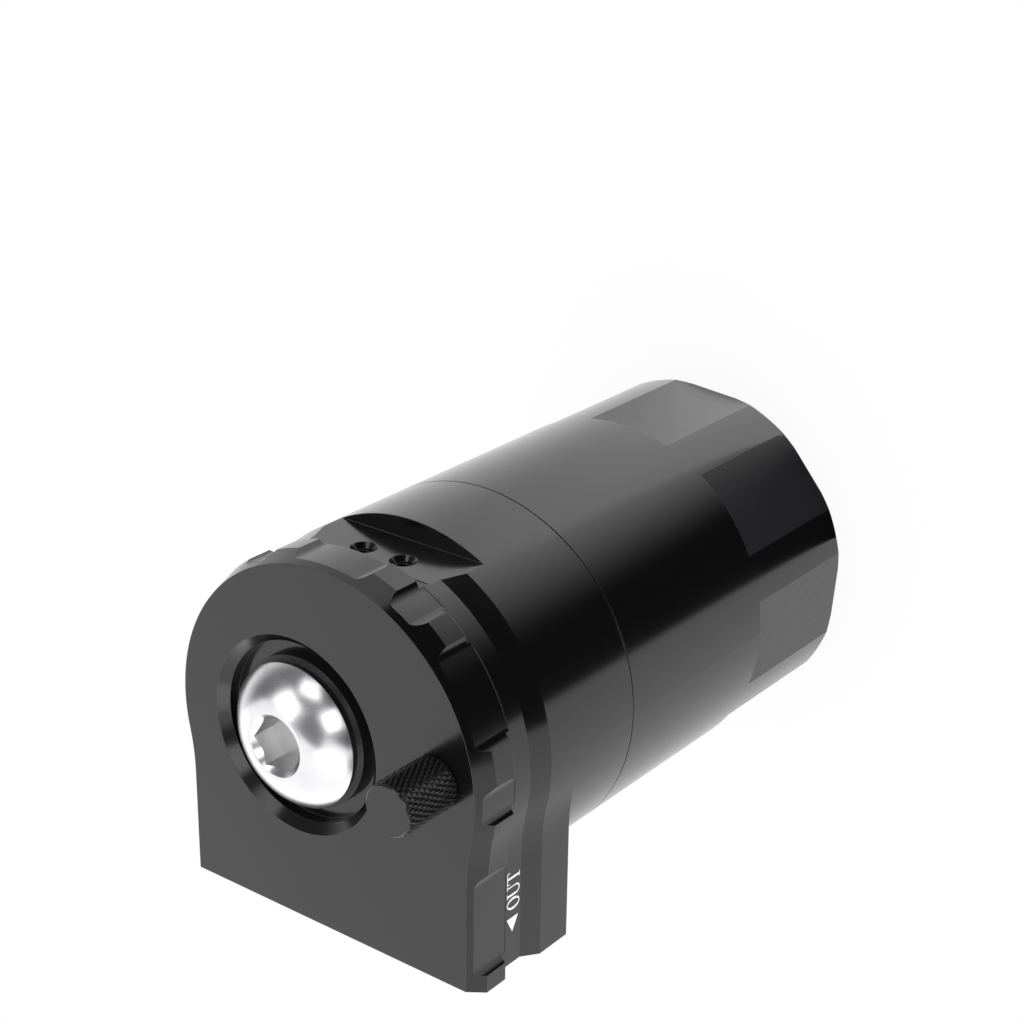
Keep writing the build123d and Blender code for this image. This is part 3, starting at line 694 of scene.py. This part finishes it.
def knit_tool(holes: tuple[Point, ...]) -> Tree:
    """Builds the tree of a knitted pad: layers of wire stitches, each layer turned against the one below.

    Args:
        holes: The X, Y and radius of each hole that the stitches keep clear of, in metres.

    Returns:
        The tree, with the pad's radius, the wire, the stitch, the counts and the turn of a layer as inputs.
    """
    tree, size = node_tool("knitted_pad", {"Radius": 0.0257, "Wire": 0.00014, "Loop": 0.004, "Course": 0.0026,
                                           "Crimp": 0.0005, "Rise": 0.0008, "Turn": 1.05, "Slack": 0.00015,
                                           "Across": 15, "Rows": 23, "Layers": 10, "Seed": 7})
    stitch = knit_stitch(tree, size)
    # A grid of places in each layer
    per_layer = add_node(tree, MATH, [size["Across"], size["Rows"]], operation="MULTIPLY")
    count = add_node(tree, MATH, [per_layer, size["Layers"]], operation="MULTIPLY")
    index = add_node(tree, "GeometryNodeInputIndex")
    column = add_node(tree, MATH, [index, size["Across"]], operation="MODULO")
    line = add_node(tree, MATH, [index, size["Across"]], operation="DIVIDE")
    whole = add_node(tree, MATH, [line], operation="FLOOR")
    row = add_node(tree, MATH, [whole, size["Rows"]], operation="MODULO")
    stack = add_node(tree, MATH, [whole, size["Rows"]], operation="DIVIDE")
    layer = add_node(tree, MATH, [stack], operation="FLOOR")
    steps = []
    for number, total, pitch in ((column, "Across", "Loop"), (row, "Rows", "Course")):
        half = add_node(tree, MATH, [size[total], 0.5, -0.5], operation="MULTIPLY_ADD")
        shifted = add_node(tree, MATH, [number, half], operation="SUBTRACT")
        steps.append(add_node(tree, MATH, [shifted, size[pitch]], operation="MULTIPLY"))
    steps.append(add_node(tree, MATH, [layer, size["Rise"]], operation="MULTIPLY"))
    cell = add_node(tree, JOIN, steps)
    angle = add_node(tree, MATH, [layer, size["Turn"]], operation="MULTIPLY")
    turn = {"Vector": cell, "Angle": angle}
    turned = add_node(tree, "ShaderNodeVectorRotate", turn, rotation_type="Z_AXIS")
    bounds = {0: (-1.0, -1.0, 0.0), 1: (1.0, 1.0, 0.0), "Seed": size["Seed"]}
    chance = add_node(tree, "FunctionNodeRandomValue", bounds, data_type="FLOAT_VECTOR")
    shift = add_node(tree, VECTOR, {0: chance, "Scale": size["Slack"]}, operation="SCALE")
    place = add_node(tree, VECTOR, [turned, shift], operation="ADD")
    points = add_node(tree, "GeometryNodePoints", {"Count": count, "Position": place})
    # The disc's edge and its holes stay clear
    spot = add_node(tree, "GeometryNodeInputPosition")
    flat = add_node(tree, VECTOR, [spot, IN_PLAN], operation="MULTIPLY")
    reach = add_node(tree, VECTOR, [flat], operation="LENGTH")
    cut = add_node(tree, MATH, [reach.outputs["Value"], size["Radius"]], operation="GREATER_THAN")
    for x, y, radius in holes:
        away = add_node(tree, VECTOR, [flat, (x, y, 0.0)], operation="DISTANCE")
        inside = add_node(tree, MATH, [away.outputs["Value"], radius], operation="LESS_THAN")
        cut = add_node(tree, MATH, [cut, inside], operation="MAXIMUM")
    kept = add_node(tree, "GeometryNodeDeleteGeometry", {"Geometry": points, "Selection": cut})
    # Points are counted anew once some are gone, so the layer is read from the level
    level = add_node(tree, AXES, [spot])
    number = add_node(tree, MATH, [level.outputs["Z"], size["Rise"]], operation="DIVIDE")
    lie = add_node(tree, MATH, [number, size["Turn"]], operation="MULTIPLY")
    spin = add_node(tree, "FunctionNodeEulerToRotation", [add_node(tree, JOIN, {2: lie})])
    laid = {"Points": kept, "Instance": stitch, "Rotation": spin}
    end_tool(tree, add_node(tree, "GeometryNodeInstanceOnPoints", laid), size["Finish"])
    return tree


class Side(Enum):
    """The two sides of the head, by the way along X in which each faces."""

    OUTLET = 1
    INLET = -1


@dataclass
class PortMark:
    """A word and an arrow on the straight side of the neck, which say which way the port flows.

    Attributes:
        side: The side that it stands on.
        word: The letters, read from left to right.
        centres_mm: The middle of each letter, counted from the can's axis towards the ports.
        arrow_mm: The arrow's base and tip, counted the same way.
        wall_mm: How far the wall stands from the axis.
        foot_mm: The level of the letters' feet.
        cap_mm: The letters' height.
        film_mm: How far the printed film stands off the wall, and how far it reaches into it.
        ARROW_CAPS: The levels of the arrow's foot and tip, in cap heights.
        BOWL_STEPS: The faces of a round stroke.
    """

    side: Side
    word: str
    centres_mm: tuple[float, ...]
    arrow_mm: tuple[float, float]
    wall_mm: float = 32.5
    foot_mm: float = 103.55
    cap_mm: float = 3.5
    film_mm: float = 0.03

    ARROW_CAPS: ClassVar[tuple[float, float]] = (0.1, 0.55)
    BOWL_STEPS: ClassVar[int] = 28

    def bar(self, left: float, low: float, right: float, high: float) -> Polygon:
        """Returns one straight stroke, in cap heights."""
        return [(left, low), (right, low), (right, high), (left, high)]

    def bowl(self, outer: tuple[float, float], inner: tuple[float, float], middle: float, start: float,
             end: float) -> list[Polygon]:
        """Draws a round stroke between two ellipses.

        Args:
            outer: The outer half width and half height, in cap heights.
            inner: The inner half width and half height.
            middle: The height of the centre.
            start: The first angle, in degrees.
            end: The last angle.

        Returns:
            The stroke's quads.
        """
        steps = self.BOWL_STEPS
        angles = [math.radians(start + (end - start) * step / steps) for step in range(steps + 1)]
        rim = [(outer[0] * math.cos(a), middle + outer[1] * math.sin(a)) for a in angles]
        eye = [(inner[0] * math.cos(a), middle + inner[1] * math.sin(a)) for a in angles]
        return [[rim[i], rim[i + 1], eye[i + 1], eye[i]] for i in range(steps)]

    def letter(self, letter: str) -> list[Polygon]:
        """Draws a plain serif letter about its centre.

        Args:
            letter: One of O, U, T, I and N.

        Returns:
            The letter's strokes, in cap heights.
        """
        bar = self.bar
        if letter == "O":
            return self.bowl((0.34, 0.5), (0.21, 0.45), 0.5, 0, 360)
        if letter == "U":
            return [bar(-0.3, 0.3, -0.18, 0.97), bar(0.21, 0.3, 0.27, 0.97), bar(-0.38, 0.96, -0.1, 1.0),
                    bar(0.12, 0.96, 0.36, 1.0), *self.bowl((0.285, 0.3), (0.195, 0.24), 0.3, 180, 360)]
        if letter == "T":
            return [bar(-0.06, 0.03, 0.06, 0.96), bar(-0.34, 0.95, 0.34, 1.0), bar(-0.34, 0.78, -0.3, 0.95),
                    bar(0.3, 0.78, 0.34, 0.95), bar(-0.16, 0.0, 0.16, 0.04)]
        if letter == "I":
            return [bar(-0.06, 0.03, 0.06, 0.97), bar(-0.17, 0.0, 0.17, 0.04), bar(-0.17, 0.96, 0.17, 1.0)]
        return [bar(-0.26, 0.03, -0.2, 0.97), bar(0.2, 0.0, 0.26, 0.97), bar(-0.37, 0.96, -0.2, 1.0),
                bar(-0.36, 0.0, -0.1, 0.04), bar(0.1, 0.96, 0.36, 1.0),
                [(-0.26, 1.0), (0.12, 0.0), (0.26, 0.0), (-0.12, 1.0)]]

    def strokes(self) -> list[Polygon]:
        """Returns every stroke of the mark in millimetres, as seen from outside with the face up."""
        across = self.side.value
        drawn = []
        for letter, centre in zip(self.word, self.centres_mm):
            drawn += [[(across * -centre + x * self.cap_mm, y * self.cap_mm) for x, y in stroke]
                      for stroke in self.letter(letter)]
        base, tip = (across * -end for end in self.arrow_mm)
        low, middle = (share * self.cap_mm for share in self.ARROW_CAPS)
        drawn.append([(base, low), (tip, middle), (base, self.cap_mm)])
        return drawn

    def build(self) -> bpy.types.Object:
        """Builds the printed film, stroke by stroke, and returns the piece."""
        work = bmesh.new()
        for stroke in self.strokes():
            low, high = ([work.verts.new((x * MM, y * MM, side * self.film_mm * MM)) for x, y in stroke]
                         for side in (-1, 1))
            work.faces.new(low)
            work.faces.new(high)
            for i in range(len(stroke)):
                work.faces.new((low[i - 1], low[i], high[i], high[i - 1]))
        bmesh.ops.recalc_face_normals(work, faces=work.faces)
        mesh = bpy.data.meshes.new("mark")
        work.to_mesh(mesh)
        work.free()
        out = self.side.value
        turn = Matrix(((0, 0, out, 0), (out, 0, 0, 0), (0, 1, 0, 0), (0, 0, 0, 1)))
        mesh.transform(Matrix.Translation((out * self.wall_mm * MM, 0, self.foot_mm * MM)) @ turn)
        mesh.materials.append(WHITE_MARK.material())
        return as_piece("mark_" + self.word.lower(), mesh)


class Assembly:
    """A group of pieces that are fitted to the can together.

    Attributes:
        FINISHES: The finish of each of the group's solids.
    """

    FINISHES: ClassVar[dict[str, Finish]] = {}

    def build(self) -> None:
        """Adds nothing, for a group whose solids have their whole shape."""

    def dress(self) -> None:
        """Gives each solid its finish."""
        for name, finish in self.FINISHES.items():
            dress_node(name, finish)


@dataclass
class Head(Assembly):
    """The milled head, its tapped holes and its port marks.

    Attributes:
        bracket_spacing_mm: The distance between the two bracket holes.
        bracket_seat_mm: Where the bracket seat lies along Y.
        bracket_level_mm: The level of the bracket holes.
        bracket_radius_mm: The bore of the M4 thread.
        bracket_pitch_mm: The pitch of the M4 thread.
        bracket_thread_mm: The length of the M4 thread.
        bracket_lead_mm: How far behind the seat the M4 thread starts.
        port_x_mm: Where each port lies along X.
        port_seat_mm: Where the ports' seats lie along Y, counted towards the ports.
        port_level_mm: The level of the ports.
        port_radius_mm: The bore of the M18 thread.
        port_pitch_mm: The pitch of the M18 thread.
        port_thread_mm: The length of the M18 thread.
        port_lead_mm: How far behind the seat the M18 thread starts.
        RIDGE_SHARE: How far a thread's ridge stands off its bore, as a share of the pitch.
    """

    bracket_spacing_mm: float = 9.0
    bracket_seat_mm: float = 31.0
    bracket_level_mm: float = 101.1
    bracket_radius_mm: float = 1.7
    bracket_pitch_mm: float = 0.7
    bracket_thread_mm: float = 8.0
    bracket_lead_mm: float = 1.0
    port_x_mm: float = 16.0
    port_seat_mm: float = 36.4
    port_level_mm: float = 104.0
    port_radius_mm: float = 8.25
    port_pitch_mm: float = 1.5
    port_thread_mm: float = 12.0
    port_lead_mm: float = 1.6

    FINISHES: ClassVar[dict[str, Finish]] = {"head": HEAD_ANODISE}
    RIDGE_SHARE: ClassVar[float] = 0.46

    def tap(self, tool: Tree, name: str, mouth: Vector, inward: int, radius_mm: float, pitch_mm: float,
            length_mm: float) -> None:
        """Cuts one tapped thread in a hole that runs along Y.

        Args:
            tool: The thread's tree.
            name: The piece's name.
            mouth: Where the thread starts, in millimetres.
            inward: The way along Y in which the hole runs, 1 or -1.
            radius_mm: The hole's radius.
            pitch_mm: The thread's pitch.
            length_mm: The thread's length.
        """
        sizes = {"Radius": radius_mm * MM, "Turns": length_mm / pitch_mm, "Length": length_mm * MM,
                 "Depth": self.RIDGE_SHARE * pitch_mm * MM}
        piece = run_tool(tool, name, sizes, HEAD_ANODISE)
        turn = Matrix.Rotation(math.radians(-90 * inward), 4, "X")
        tidy_mesh(piece.data, Matrix.Translation(mouth * MM) @ turn)
        add_piece(piece, "head")

    def build(self) -> None:
        """Builds the threads and the marks."""
        tool = thread_tool()
        seat = self.bracket_seat_mm - self.bracket_lead_mm
        for number, side in enumerate((-1, 1), start=1):
            mouth = Vector((side * self.bracket_spacing_mm / 2, seat, self.bracket_level_mm))
            self.tap(tool, f"bracket_thread_{number}", mouth, -1, self.bracket_radius_mm,
                     self.bracket_pitch_mm, self.bracket_thread_mm)
        seat = self.port_lead_mm - self.port_seat_mm
        for side in Side:
            mouth = Vector((side.value * self.port_x_mm, seat, self.port_level_mm))
            self.tap(tool, f"port_thread_{side.name.lower()}", mouth, 1, self.port_radius_mm,
                     self.port_pitch_mm, self.port_thread_mm)
        for mark in (PortMark(Side.OUTLET, "OUT", (24.5, 21.85, 19.2), (27.3, 30.2)),
                     PortMark(Side.INLET, "IN", (22.2, 24.5), (30.2, 27.3))):
            add_piece(mark.build(), "head")


@dataclass
class Cup(Assembly):
    """The turned cup and the seal in its mouth."""

    FINISHES: ClassVar[dict[str, Finish]] = {"cup": CUP_ANODISE, "cup_seal": NITRILE}


@dataclass
class Plug(Assembly):
    """The domed plug screw and its sealing washer."""

    FINISHES: ClassVar[dict[str, Finish]] = {"plug_screw": PLUG_STEEL, "plug_washer": OXIDE_STEEL,
                                             "plug_lip": NITRILE}


@dataclass
class Dipstick(Assembly):
    """The dipstick: its knurled knob, stem seal and rod.

    Attributes:
        x_mm: Where its axis stands along X.
        y_mm: Where its axis stands along Y.
        foot_mm: The level of the knob's underside.
        root_mm: The radius of the knurl's grooves.
        groove_mm: The depth of the knurl, up to the knob's outside.
        edge_mm: How far each end of the knob is broken.
        grooves: The grooves of one hand, counted round the knob.
        crossings: The turns of the pattern over the knob's length, for a 30 degree knurl.
        across: The faces round the knob.
        along: The faces over the knob's length.
        stem_mm: The stem's radius.
        seat_mm: The radius at the bottom of the seal's groove.
        seat_top_mm: The level of the groove's top.
        seat_low_mm: The level of the groove's bottom.
    """

    x_mm: float = 25.4
    y_mm: float = 2.4
    foot_mm: float = 117.62
    root_mm: float = 4.64
    groove_mm: float = 0.38
    edge_mm: float = 0.16
    grooves: float = 30.0
    crossings: float = 6.5
    across: int = 240
    along: int = 78
    stem_mm: float = 3.0
    seat_mm: float = 1.95
    seat_top_mm: float = 113.6
    seat_low_mm: float = 112.1

    FINISHES: ClassVar[dict[str, Finish]] = {"dip_knob": KNOB_ANODISE, "dip_seal": NITRILE,
                                             "dip_rod": BRIGHT_STEEL}

    def turn_profile(self, work: bmesh.types.BMesh, profile: Polygon) -> None:
        """Turns a profile about the knob's axis and closes its far end.

        Args:
            work: The mesh that takes the faces.
            profile: The radius and level of each corner, in millimetres.
        """
        angles = [FULL_TURN * step / self.across for step in range(self.across)]
        rings = [[work.verts.new((r * MM * math.cos(a), r * MM * math.sin(a), z * MM)) for a in angles]
                 for r, z in profile]
        work.faces.ensure_lookup_table()
        finish = work.faces[0].material_index
        for first, second in zip(rings, rings[1:]):
            for step in range(self.across):
                face = work.faces.new((first[step - 1], first[step], second[step], second[step - 1]))
                face.material_index = finish
        work.faces.new(rings[-1]).material_index = finish

    def build(self) -> None:
        """Builds the knob in one piece: the rolled wall, the plain end and the stem."""
        low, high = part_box("dip_knob")
        stem_end = low[2] / MM
        top = high[2] / MM
        length = top - self.foot_mm - 2 * self.edge_mm
        sizes = {"Root": self.root_mm * MM, "Depth": self.groove_mm * MM, "Length": length * MM,
                 "Grooves": self.grooves, "Crossings": self.crossings, "Across": self.across + 1,
                 "Along": self.along + 1}
        knob = run_tool(knurl_tool(), "knurled_knob", sizes, KNOB_ANODISE)
        work = bmesh.new()
        work.from_mesh(knob.data)
        bmesh.ops.translate(work, verts=work.verts, vec=(0.0, 0.0, (self.foot_mm + self.edge_mm) * MM))
        inner = self.root_mm - self.edge_mm
        self.turn_profile(work, [(self.root_mm, top - self.edge_mm), (inner, top)])
        self.turn_profile(work, [(self.root_mm, self.foot_mm + self.edge_mm), (inner, self.foot_mm),
                                 (self.stem_mm, self.foot_mm), (self.stem_mm, self.seat_top_mm),
                                 (self.seat_mm, self.seat_top_mm), (self.seat_mm, self.seat_low_mm),
                                 (self.stem_mm, self.seat_low_mm), (self.stem_mm, stem_end)])
        work.to_mesh(knob.data)
        work.free()
        tidy_mesh(knob.data, Matrix.Translation(Vector((self.x_mm, self.y_mm, 0.0)) * MM))
        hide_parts("dip_knob")
        add_piece(knob, "dipstick")


@dataclass
class BaffleStack(Assembly):
    """The two perforated plates, the pad between them and the screws that hang them from the head.

    Attributes:
        pad_mm: The radius inside which a stitch of the pad has its middle.
        holes_mm: The X, Y and radius round each hole of the pad that stays clear of the stitches' middles.
        foot_mm: The level of the lowest layer.
    """

    pad_mm: float = 25.8
    holes_mm: tuple[Point, ...] = ((19.05, 11.0, 6.4), (-19.05, 11.0, 6.4), (0.0, -22.0, 6.4),
                                   (-16.0, -12.98, 8.4), (25.4, 2.4, 4.2))
    foot_mm: float = 51.0

    FINISHES: ClassVar[dict[str, Finish]] = {
        "upper_plate": TURNED_ALUMINIUM, "lower_plate": TURNED_ALUMINIUM, "standoffs": TURNED_ALUMINIUM,
        "pad_spacers": TURNED_ALUMINIUM, "stack_washers": BRIGHT_STEEL, "stack_screws": BRIGHT_STEEL,
        "mesh_pad": KNIT_WIRE}

    def build(self) -> None:
        """Knits the pad."""
        holes = tuple((x * MM, y * MM, radius * MM) for x, y, radius in self.holes_mm)
        pad = run_tool(knit_tool(holes), "knitted_pad", {"Radius": self.pad_mm * MM}, KNIT_WIRE)
        tidy_mesh(pad.data, Matrix.Translation((0.0, 0.0, self.foot_mm * MM)))
        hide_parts("mesh_pad")
        add_piece(pad, "head")


@dataclass
class Breather(Assembly):
    """The inlet tube and the outlet filter under the ports."""

    FINISHES: ClassVar[dict[str, Finish]] = {
        "inlet_tube": TURNED_ALUMINIUM, "filter_washer": RED_FIBRE, "filter_nipple": TURNED_BRASS,
        "filter_element": SINTERED_BRONZE}


@dataclass(frozen=True)
class Softbox:
    """A flat studio light with a diffuser.

    Attributes:
        name: Its name.
        azimuth_deg: The way from the can to the light, counted from +X towards +Y.
        elevation_deg: How high it stands over the horizon.
        distance_m: How far it stands from the can.
        width_m: Its width.
        height_m: Its height.
        level: How bright its diffuser is, where 1 is white.
    """

    name: str
    azimuth_deg: float
    elevation_deg: float
    distance_m: float
    width_m: float
    height_m: float
    level: float


@dataclass(frozen=True)
class Card:
    """A card beside the can that shapes its reflections, as a product photographer sets one.

    Attributes:
        name: Its name.
        levels: How bright it is before and after its fade, where 1 is white.
        rows: The two ends of each of its rows, in millimetres.
        fade_deg: Where its fade starts and ends, as angles about the pivot from +X towards +Y.
        pivot_mm: The point that the fade fans out from.
        STEPS: The faces along a card that is bent round the can.
        TURN_DEG: The angle that the fade is counted from, far from where the count jumps.
    """

    name: str
    levels: tuple[float, float]
    rows: tuple[tuple[Point, Point], ...]
    fade_deg: tuple[float, float] = (0.0, 0.0)
    pivot_mm: Point = (0.0, 0.0, 0.0)

    STEPS: ClassVar[int] = 16
    TURN_DEG: ClassVar[float] = 60.0

    @classmethod
    def sector(cls, name: str, levels: tuple[float, float], span_deg: tuple[int, int],
               near_mm: tuple[float, float], far_mm: tuple[float, float],
               fade_deg: tuple[float, float] = (0.0, 0.0)) -> "Card":
        """Bends a card round the can's axis.

        Args:
            name: The card's name.
            levels: How bright it is before and after its fade.
            span_deg: Where it starts and ends, counted from +X towards +Y.
            near_mm: The radius and level of one long edge.
            far_mm: The radius and level of the other.
            fade_deg: Where the fade starts and ends.

        Returns:
            The card.
        """
        start, end = span_deg
        ways = [math.radians(start + (end - start) * step / cls.STEPS) for step in range(cls.STEPS + 1)]
        edges = (near_mm, far_mm)
        rows = tuple(tuple((radius * math.cos(way), radius * math.sin(way), level) for radius, level in edges)
                     for way in ways)
        return cls(name, levels, rows, fade_deg)

    def paint(self) -> bpy.types.Material:
        """Returns the card's material, which glows evenly or fades like a fan."""
        made = bpy.data.materials.new(self.name + "_paint")
        tree = blank_tree(made)
        level = self.levels[0]
        if self.levels[0] != self.levels[1]:
            place = add_node(tree, "ShaderNodeTexCoord").outputs["Object"]
            local = add_node(tree, VECTOR, [place, Vector(self.pivot_mm) * MM], operation="SUBTRACT")
            turn = {"Vector": local, "Angle": -math.radians(self.TURN_DEG)}
            turned = add_node(tree, "ShaderNodeVectorRotate", turn, rotation_type="Z_AXIS")
            axes = add_node(tree, AXES, [turned])
            angle = add_node(tree, MATH, [axes.outputs["Y"], axes.outputs["X"]], operation="ARCTAN2")
            limits = [math.radians(limit - self.TURN_DEG) for limit in self.fade_deg]
            level = add_node(tree, RANGE, [angle, *limits, *self.levels], interpolation_type="SMOOTHSTEP")
        glow = add_node(tree, "ShaderNodeEmission", {"Color": WHITE, "Strength": level})
        add_node(tree, "ShaderNodeOutputMaterial", {"Surface": glow})
        made.cycles.emission_sampling = "NONE"
        return made

    def build(self) -> None:
        """Lays out the card, which only the can's reflections see."""
        mesh = bpy.data.meshes.new(self.name)
        points = [Vector(corner) * MM for row in self.rows for corner in row]
        quads = [(2 * row, 2 * row + 2, 2 * row + 3, 2 * row + 1) for row in range(len(self.rows) - 1)]
        mesh.from_pydata(points, [], quads)
        board = as_piece(self.name, mesh)
        mesh.materials.append(self.paint())
        board.visible_camera = False
        board.visible_diffuse = False
        board.visible_shadow = False


@dataclass
class Studio:
    """A pale floor, soft lights and the camera.

    Attributes:
        camera_mm: Where the camera stands.
        right: The way along its picture's width.
        up: The way up its picture.
        lens_mm: Its focal length.
        sensor_mm: The width of its sensor.
        near_m: How near to it the picture starts.
        floor_m: The width of the floor.
        floor_gap_mm: How far the floor lies under the can, so that the two don't share a plane.
        floor_colour: The floor's colour.
        shadow_share: How much of the floor's own shading shows under the can, against plain white.
        shadow_mm: The radius where that shading starts to fade, and the radius where it ends.
        cove: How far up, as a sine, the white surround starts to dim in reflections, and where it is dimmest.
        ceiling_level: How bright it is there, where 1 is white.
        fill_level: How bright the surround is as a light.
        aim_mm: The point of the can that the lights face.
        lights: The studio lights.
        cards: The cards that shape the reflections.
    """

    camera_mm: Point = (228.25, 184.837, 363.046)
    right: Point = (0.790938, 0.012737, -0.611763)
    up: Point = (-0.246258, 0.921869, -0.299189)
    lens_mm: float = 77.05
    sensor_mm: float = 36.0
    near_m: float = 0.01
    floor_m: float = 8.0
    floor_gap_mm: float = 0.1
    floor_colour: str = "#eeeeee"
    shadow_share: float = 0.1
    shadow_mm: tuple[float, float] = (60.0, 130.0)
    cove: tuple[float, float] = (0.03, 0.3)
    ceiling_level: float = 0.15
    fill_level: float = 0.75
    aim_mm: Point = (0.0, 0.0, 90.0)
    lights: tuple[Softbox, ...] = (
        Softbox("big_wall", -110.0, 38.0, 1.1, 3.2, 1.9, 1.05),
        Softbox("side_wall", -38.0, 48.0, 1.0, 0.6, 0.7, 1.05),
        Softbox("high_left", 146.0, 61.0, 0.9, 0.46, 0.46, 1.8),
        Softbox("high_back", 92.0, 42.0, 0.9, 0.42, 0.32, 1.9),
        Softbox("front", 30.0, 49.0, 0.9, 0.36, 0.46, 2.2),
    )
    cards: tuple[Card, ...] = (
        Card("black_card", (0.002, 1.5),
             rows=(((33.8, 9.7, 0.05), (136.4, 5.8, 30.0)),
                   ((25.4, 21.8, 0.05), (122.9, 86.0, 30.0)),
                   ((20.6, 28.4, 0.05), (23.8, 134.9, 30.0))),
             fade_deg=(30.0, 86.0), pivot_mm=(8.0, 14.0, 0.0)),
        Card.sector("black_screen", (0.002, 0.002), (-3, 82), (132.0, 28.0), (132.0, 210.0)),
        Card.sector("bright_card", (1.75, 1.15), (55, 236), (35.1, 0.05), (180.0, 0.05), (78.0, 122.0)),
    )

    def seen(self, tree: Tree) -> Socket:
        """Returns 1 for what the camera sees straight, in a mirror or through glass."""
        path = add_node(tree, "ShaderNodeLightPath").outputs
        mirror = add_node(tree, MATH, [path["Is Camera Ray"], path["Is Glossy Ray"]], operation="MAXIMUM")
        return add_node(tree, MATH, [mirror, path["Is Transmission Ray"]], operation="MAXIMUM").outputs[0]

    def build_floor(self) -> None:
        """Lays a white floor that keeps the can's shadow."""
        mesh = bpy.data.meshes.new("floor")
        half = self.floor_m / 2
        low = -self.floor_gap_mm * MM
        corners = [(-half, -half, low), (half, -half, low), (half, half, low), (-half, half, low)]
        mesh.from_pydata(corners, [], [(0, 1, 2, 3)])
        floor = as_piece("floor", mesh)
        paper = bpy.data.materials.new("white_backdrop_paper")
        tree = blank_tree(paper)
        spot = add_node(tree, "ShaderNodeTexCoord").outputs["Object"]
        reach = add_node(tree, VECTOR, [spot], operation="LENGTH")
        near, far = (radius * MM for radius in self.shadow_mm)
        white = add_node(tree, RANGE, [reach.outputs["Value"], near, far, 1 - self.shadow_share, 1.0])
        share = add_node(tree, MATH, [self.seen(tree), white], operation="MULTIPLY")
        shaded = add_node(tree, "ShaderNodeBsdfDiffuse", {"Color": linear(self.floor_colour)})
        plain = add_node(tree, "ShaderNodeEmission", {"Color": WHITE, "Strength": 1.0})
        both = add_node(tree, "ShaderNodeMixShader", [share, shaded, plain])
        add_node(tree, "ShaderNodeOutputMaterial", {"Surface": both})
        paper.cycles.emission_sampling = "NONE"
        mesh.materials.append(paper)

    def build_world(self) -> None:
        """Makes the surround: white where it is seen, and a low even light elsewhere."""
        world = bpy.data.worlds.new("studio")
        tree = blank_tree(world)
        way = add_node(tree, AXES, [add_node(tree, "ShaderNodeTexCoord").outputs["Generated"]])
        straight = add_node(tree, "ShaderNodeLightPath").outputs["Is Camera Ray"]
        dim = add_node(tree, RANGE, [way.outputs["Z"], *self.cove, 1.0, self.ceiling_level])
        ceiling = add_node(tree, MATH, [dim, straight], operation="MAXIMUM")
        shown = add_node(tree, "ShaderNodeBackground", {"Color": WHITE, "Strength": ceiling})
        fill = add_node(tree, "ShaderNodeBackground", {"Color": WHITE, "Strength": self.fill_level})
        both = add_node(tree, "ShaderNodeMixShader", [self.seen(tree), fill, shown])
        add_node(tree, "ShaderNodeOutputWorld", {"Surface": both})
        # The surround is even, so bounced rays find it without a search
        world.cycles.sampling_method = "NONE"
        bpy.context.scene.world = world

    def build_lights(self) -> None:
        """Hangs the lights round the can's middle."""
        for box in self.lights:
            lamp = bpy.data.lights.new(box.name, "AREA")
            lamp.shape = "RECTANGLE"
            lamp.size = box.width_m
            lamp.size_y = box.height_m
            lamp.energy = box.level * math.pi * box.width_m * box.height_m
            light = as_piece(box.name, lamp)
            aim = Euler((0.0, math.radians(-box.elevation_deg), math.radians(box.azimuth_deg)))
            way = aim.to_matrix() @ Vector((1, 0, 0))
            light.location = Vector(self.aim_mm) * MM + way * box.distance_m
            light.rotation_euler = way.to_track_quat("Z", "Y").to_euler()

    def build_camera(self) -> None:
        """Sets the camera at the picture's viewing angle."""
        lens = bpy.data.cameras.new("camera")
        lens.lens = self.lens_mm
        lens.sensor_width = self.sensor_mm
        lens.clip_start = self.near_m
        camera = as_piece("camera", lens)
        right = Vector(self.right)
        up = Vector(self.up)
        turn = Matrix((right, up, right.cross(up))).transposed().to_4x4()
        camera.matrix_world = Matrix.Translation(Vector(self.camera_mm) * MM) @ turn
        bpy.context.scene.camera = camera

    def build(self) -> None:
        """Builds the whole set."""
        bpy.context.scene.view_settings.view_transform = "Standard"
        self.build_floor()
        self.build_world()
        for card in self.cards:
            card.build()
        self.build_lights()
        self.build_camera()


def main() -> None:
    """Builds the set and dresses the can."""
    logging.basicConfig(level=logging.INFO, format="%(name)s: %(message)s")
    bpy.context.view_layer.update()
    Studio().build()
    for assembly in (Head(), Cup(), Plug(), Dipstick(), BaffleStack(), Breather()):
        assembly.build()
        assembly.dress()


if __name__ == "__main__":
    main()
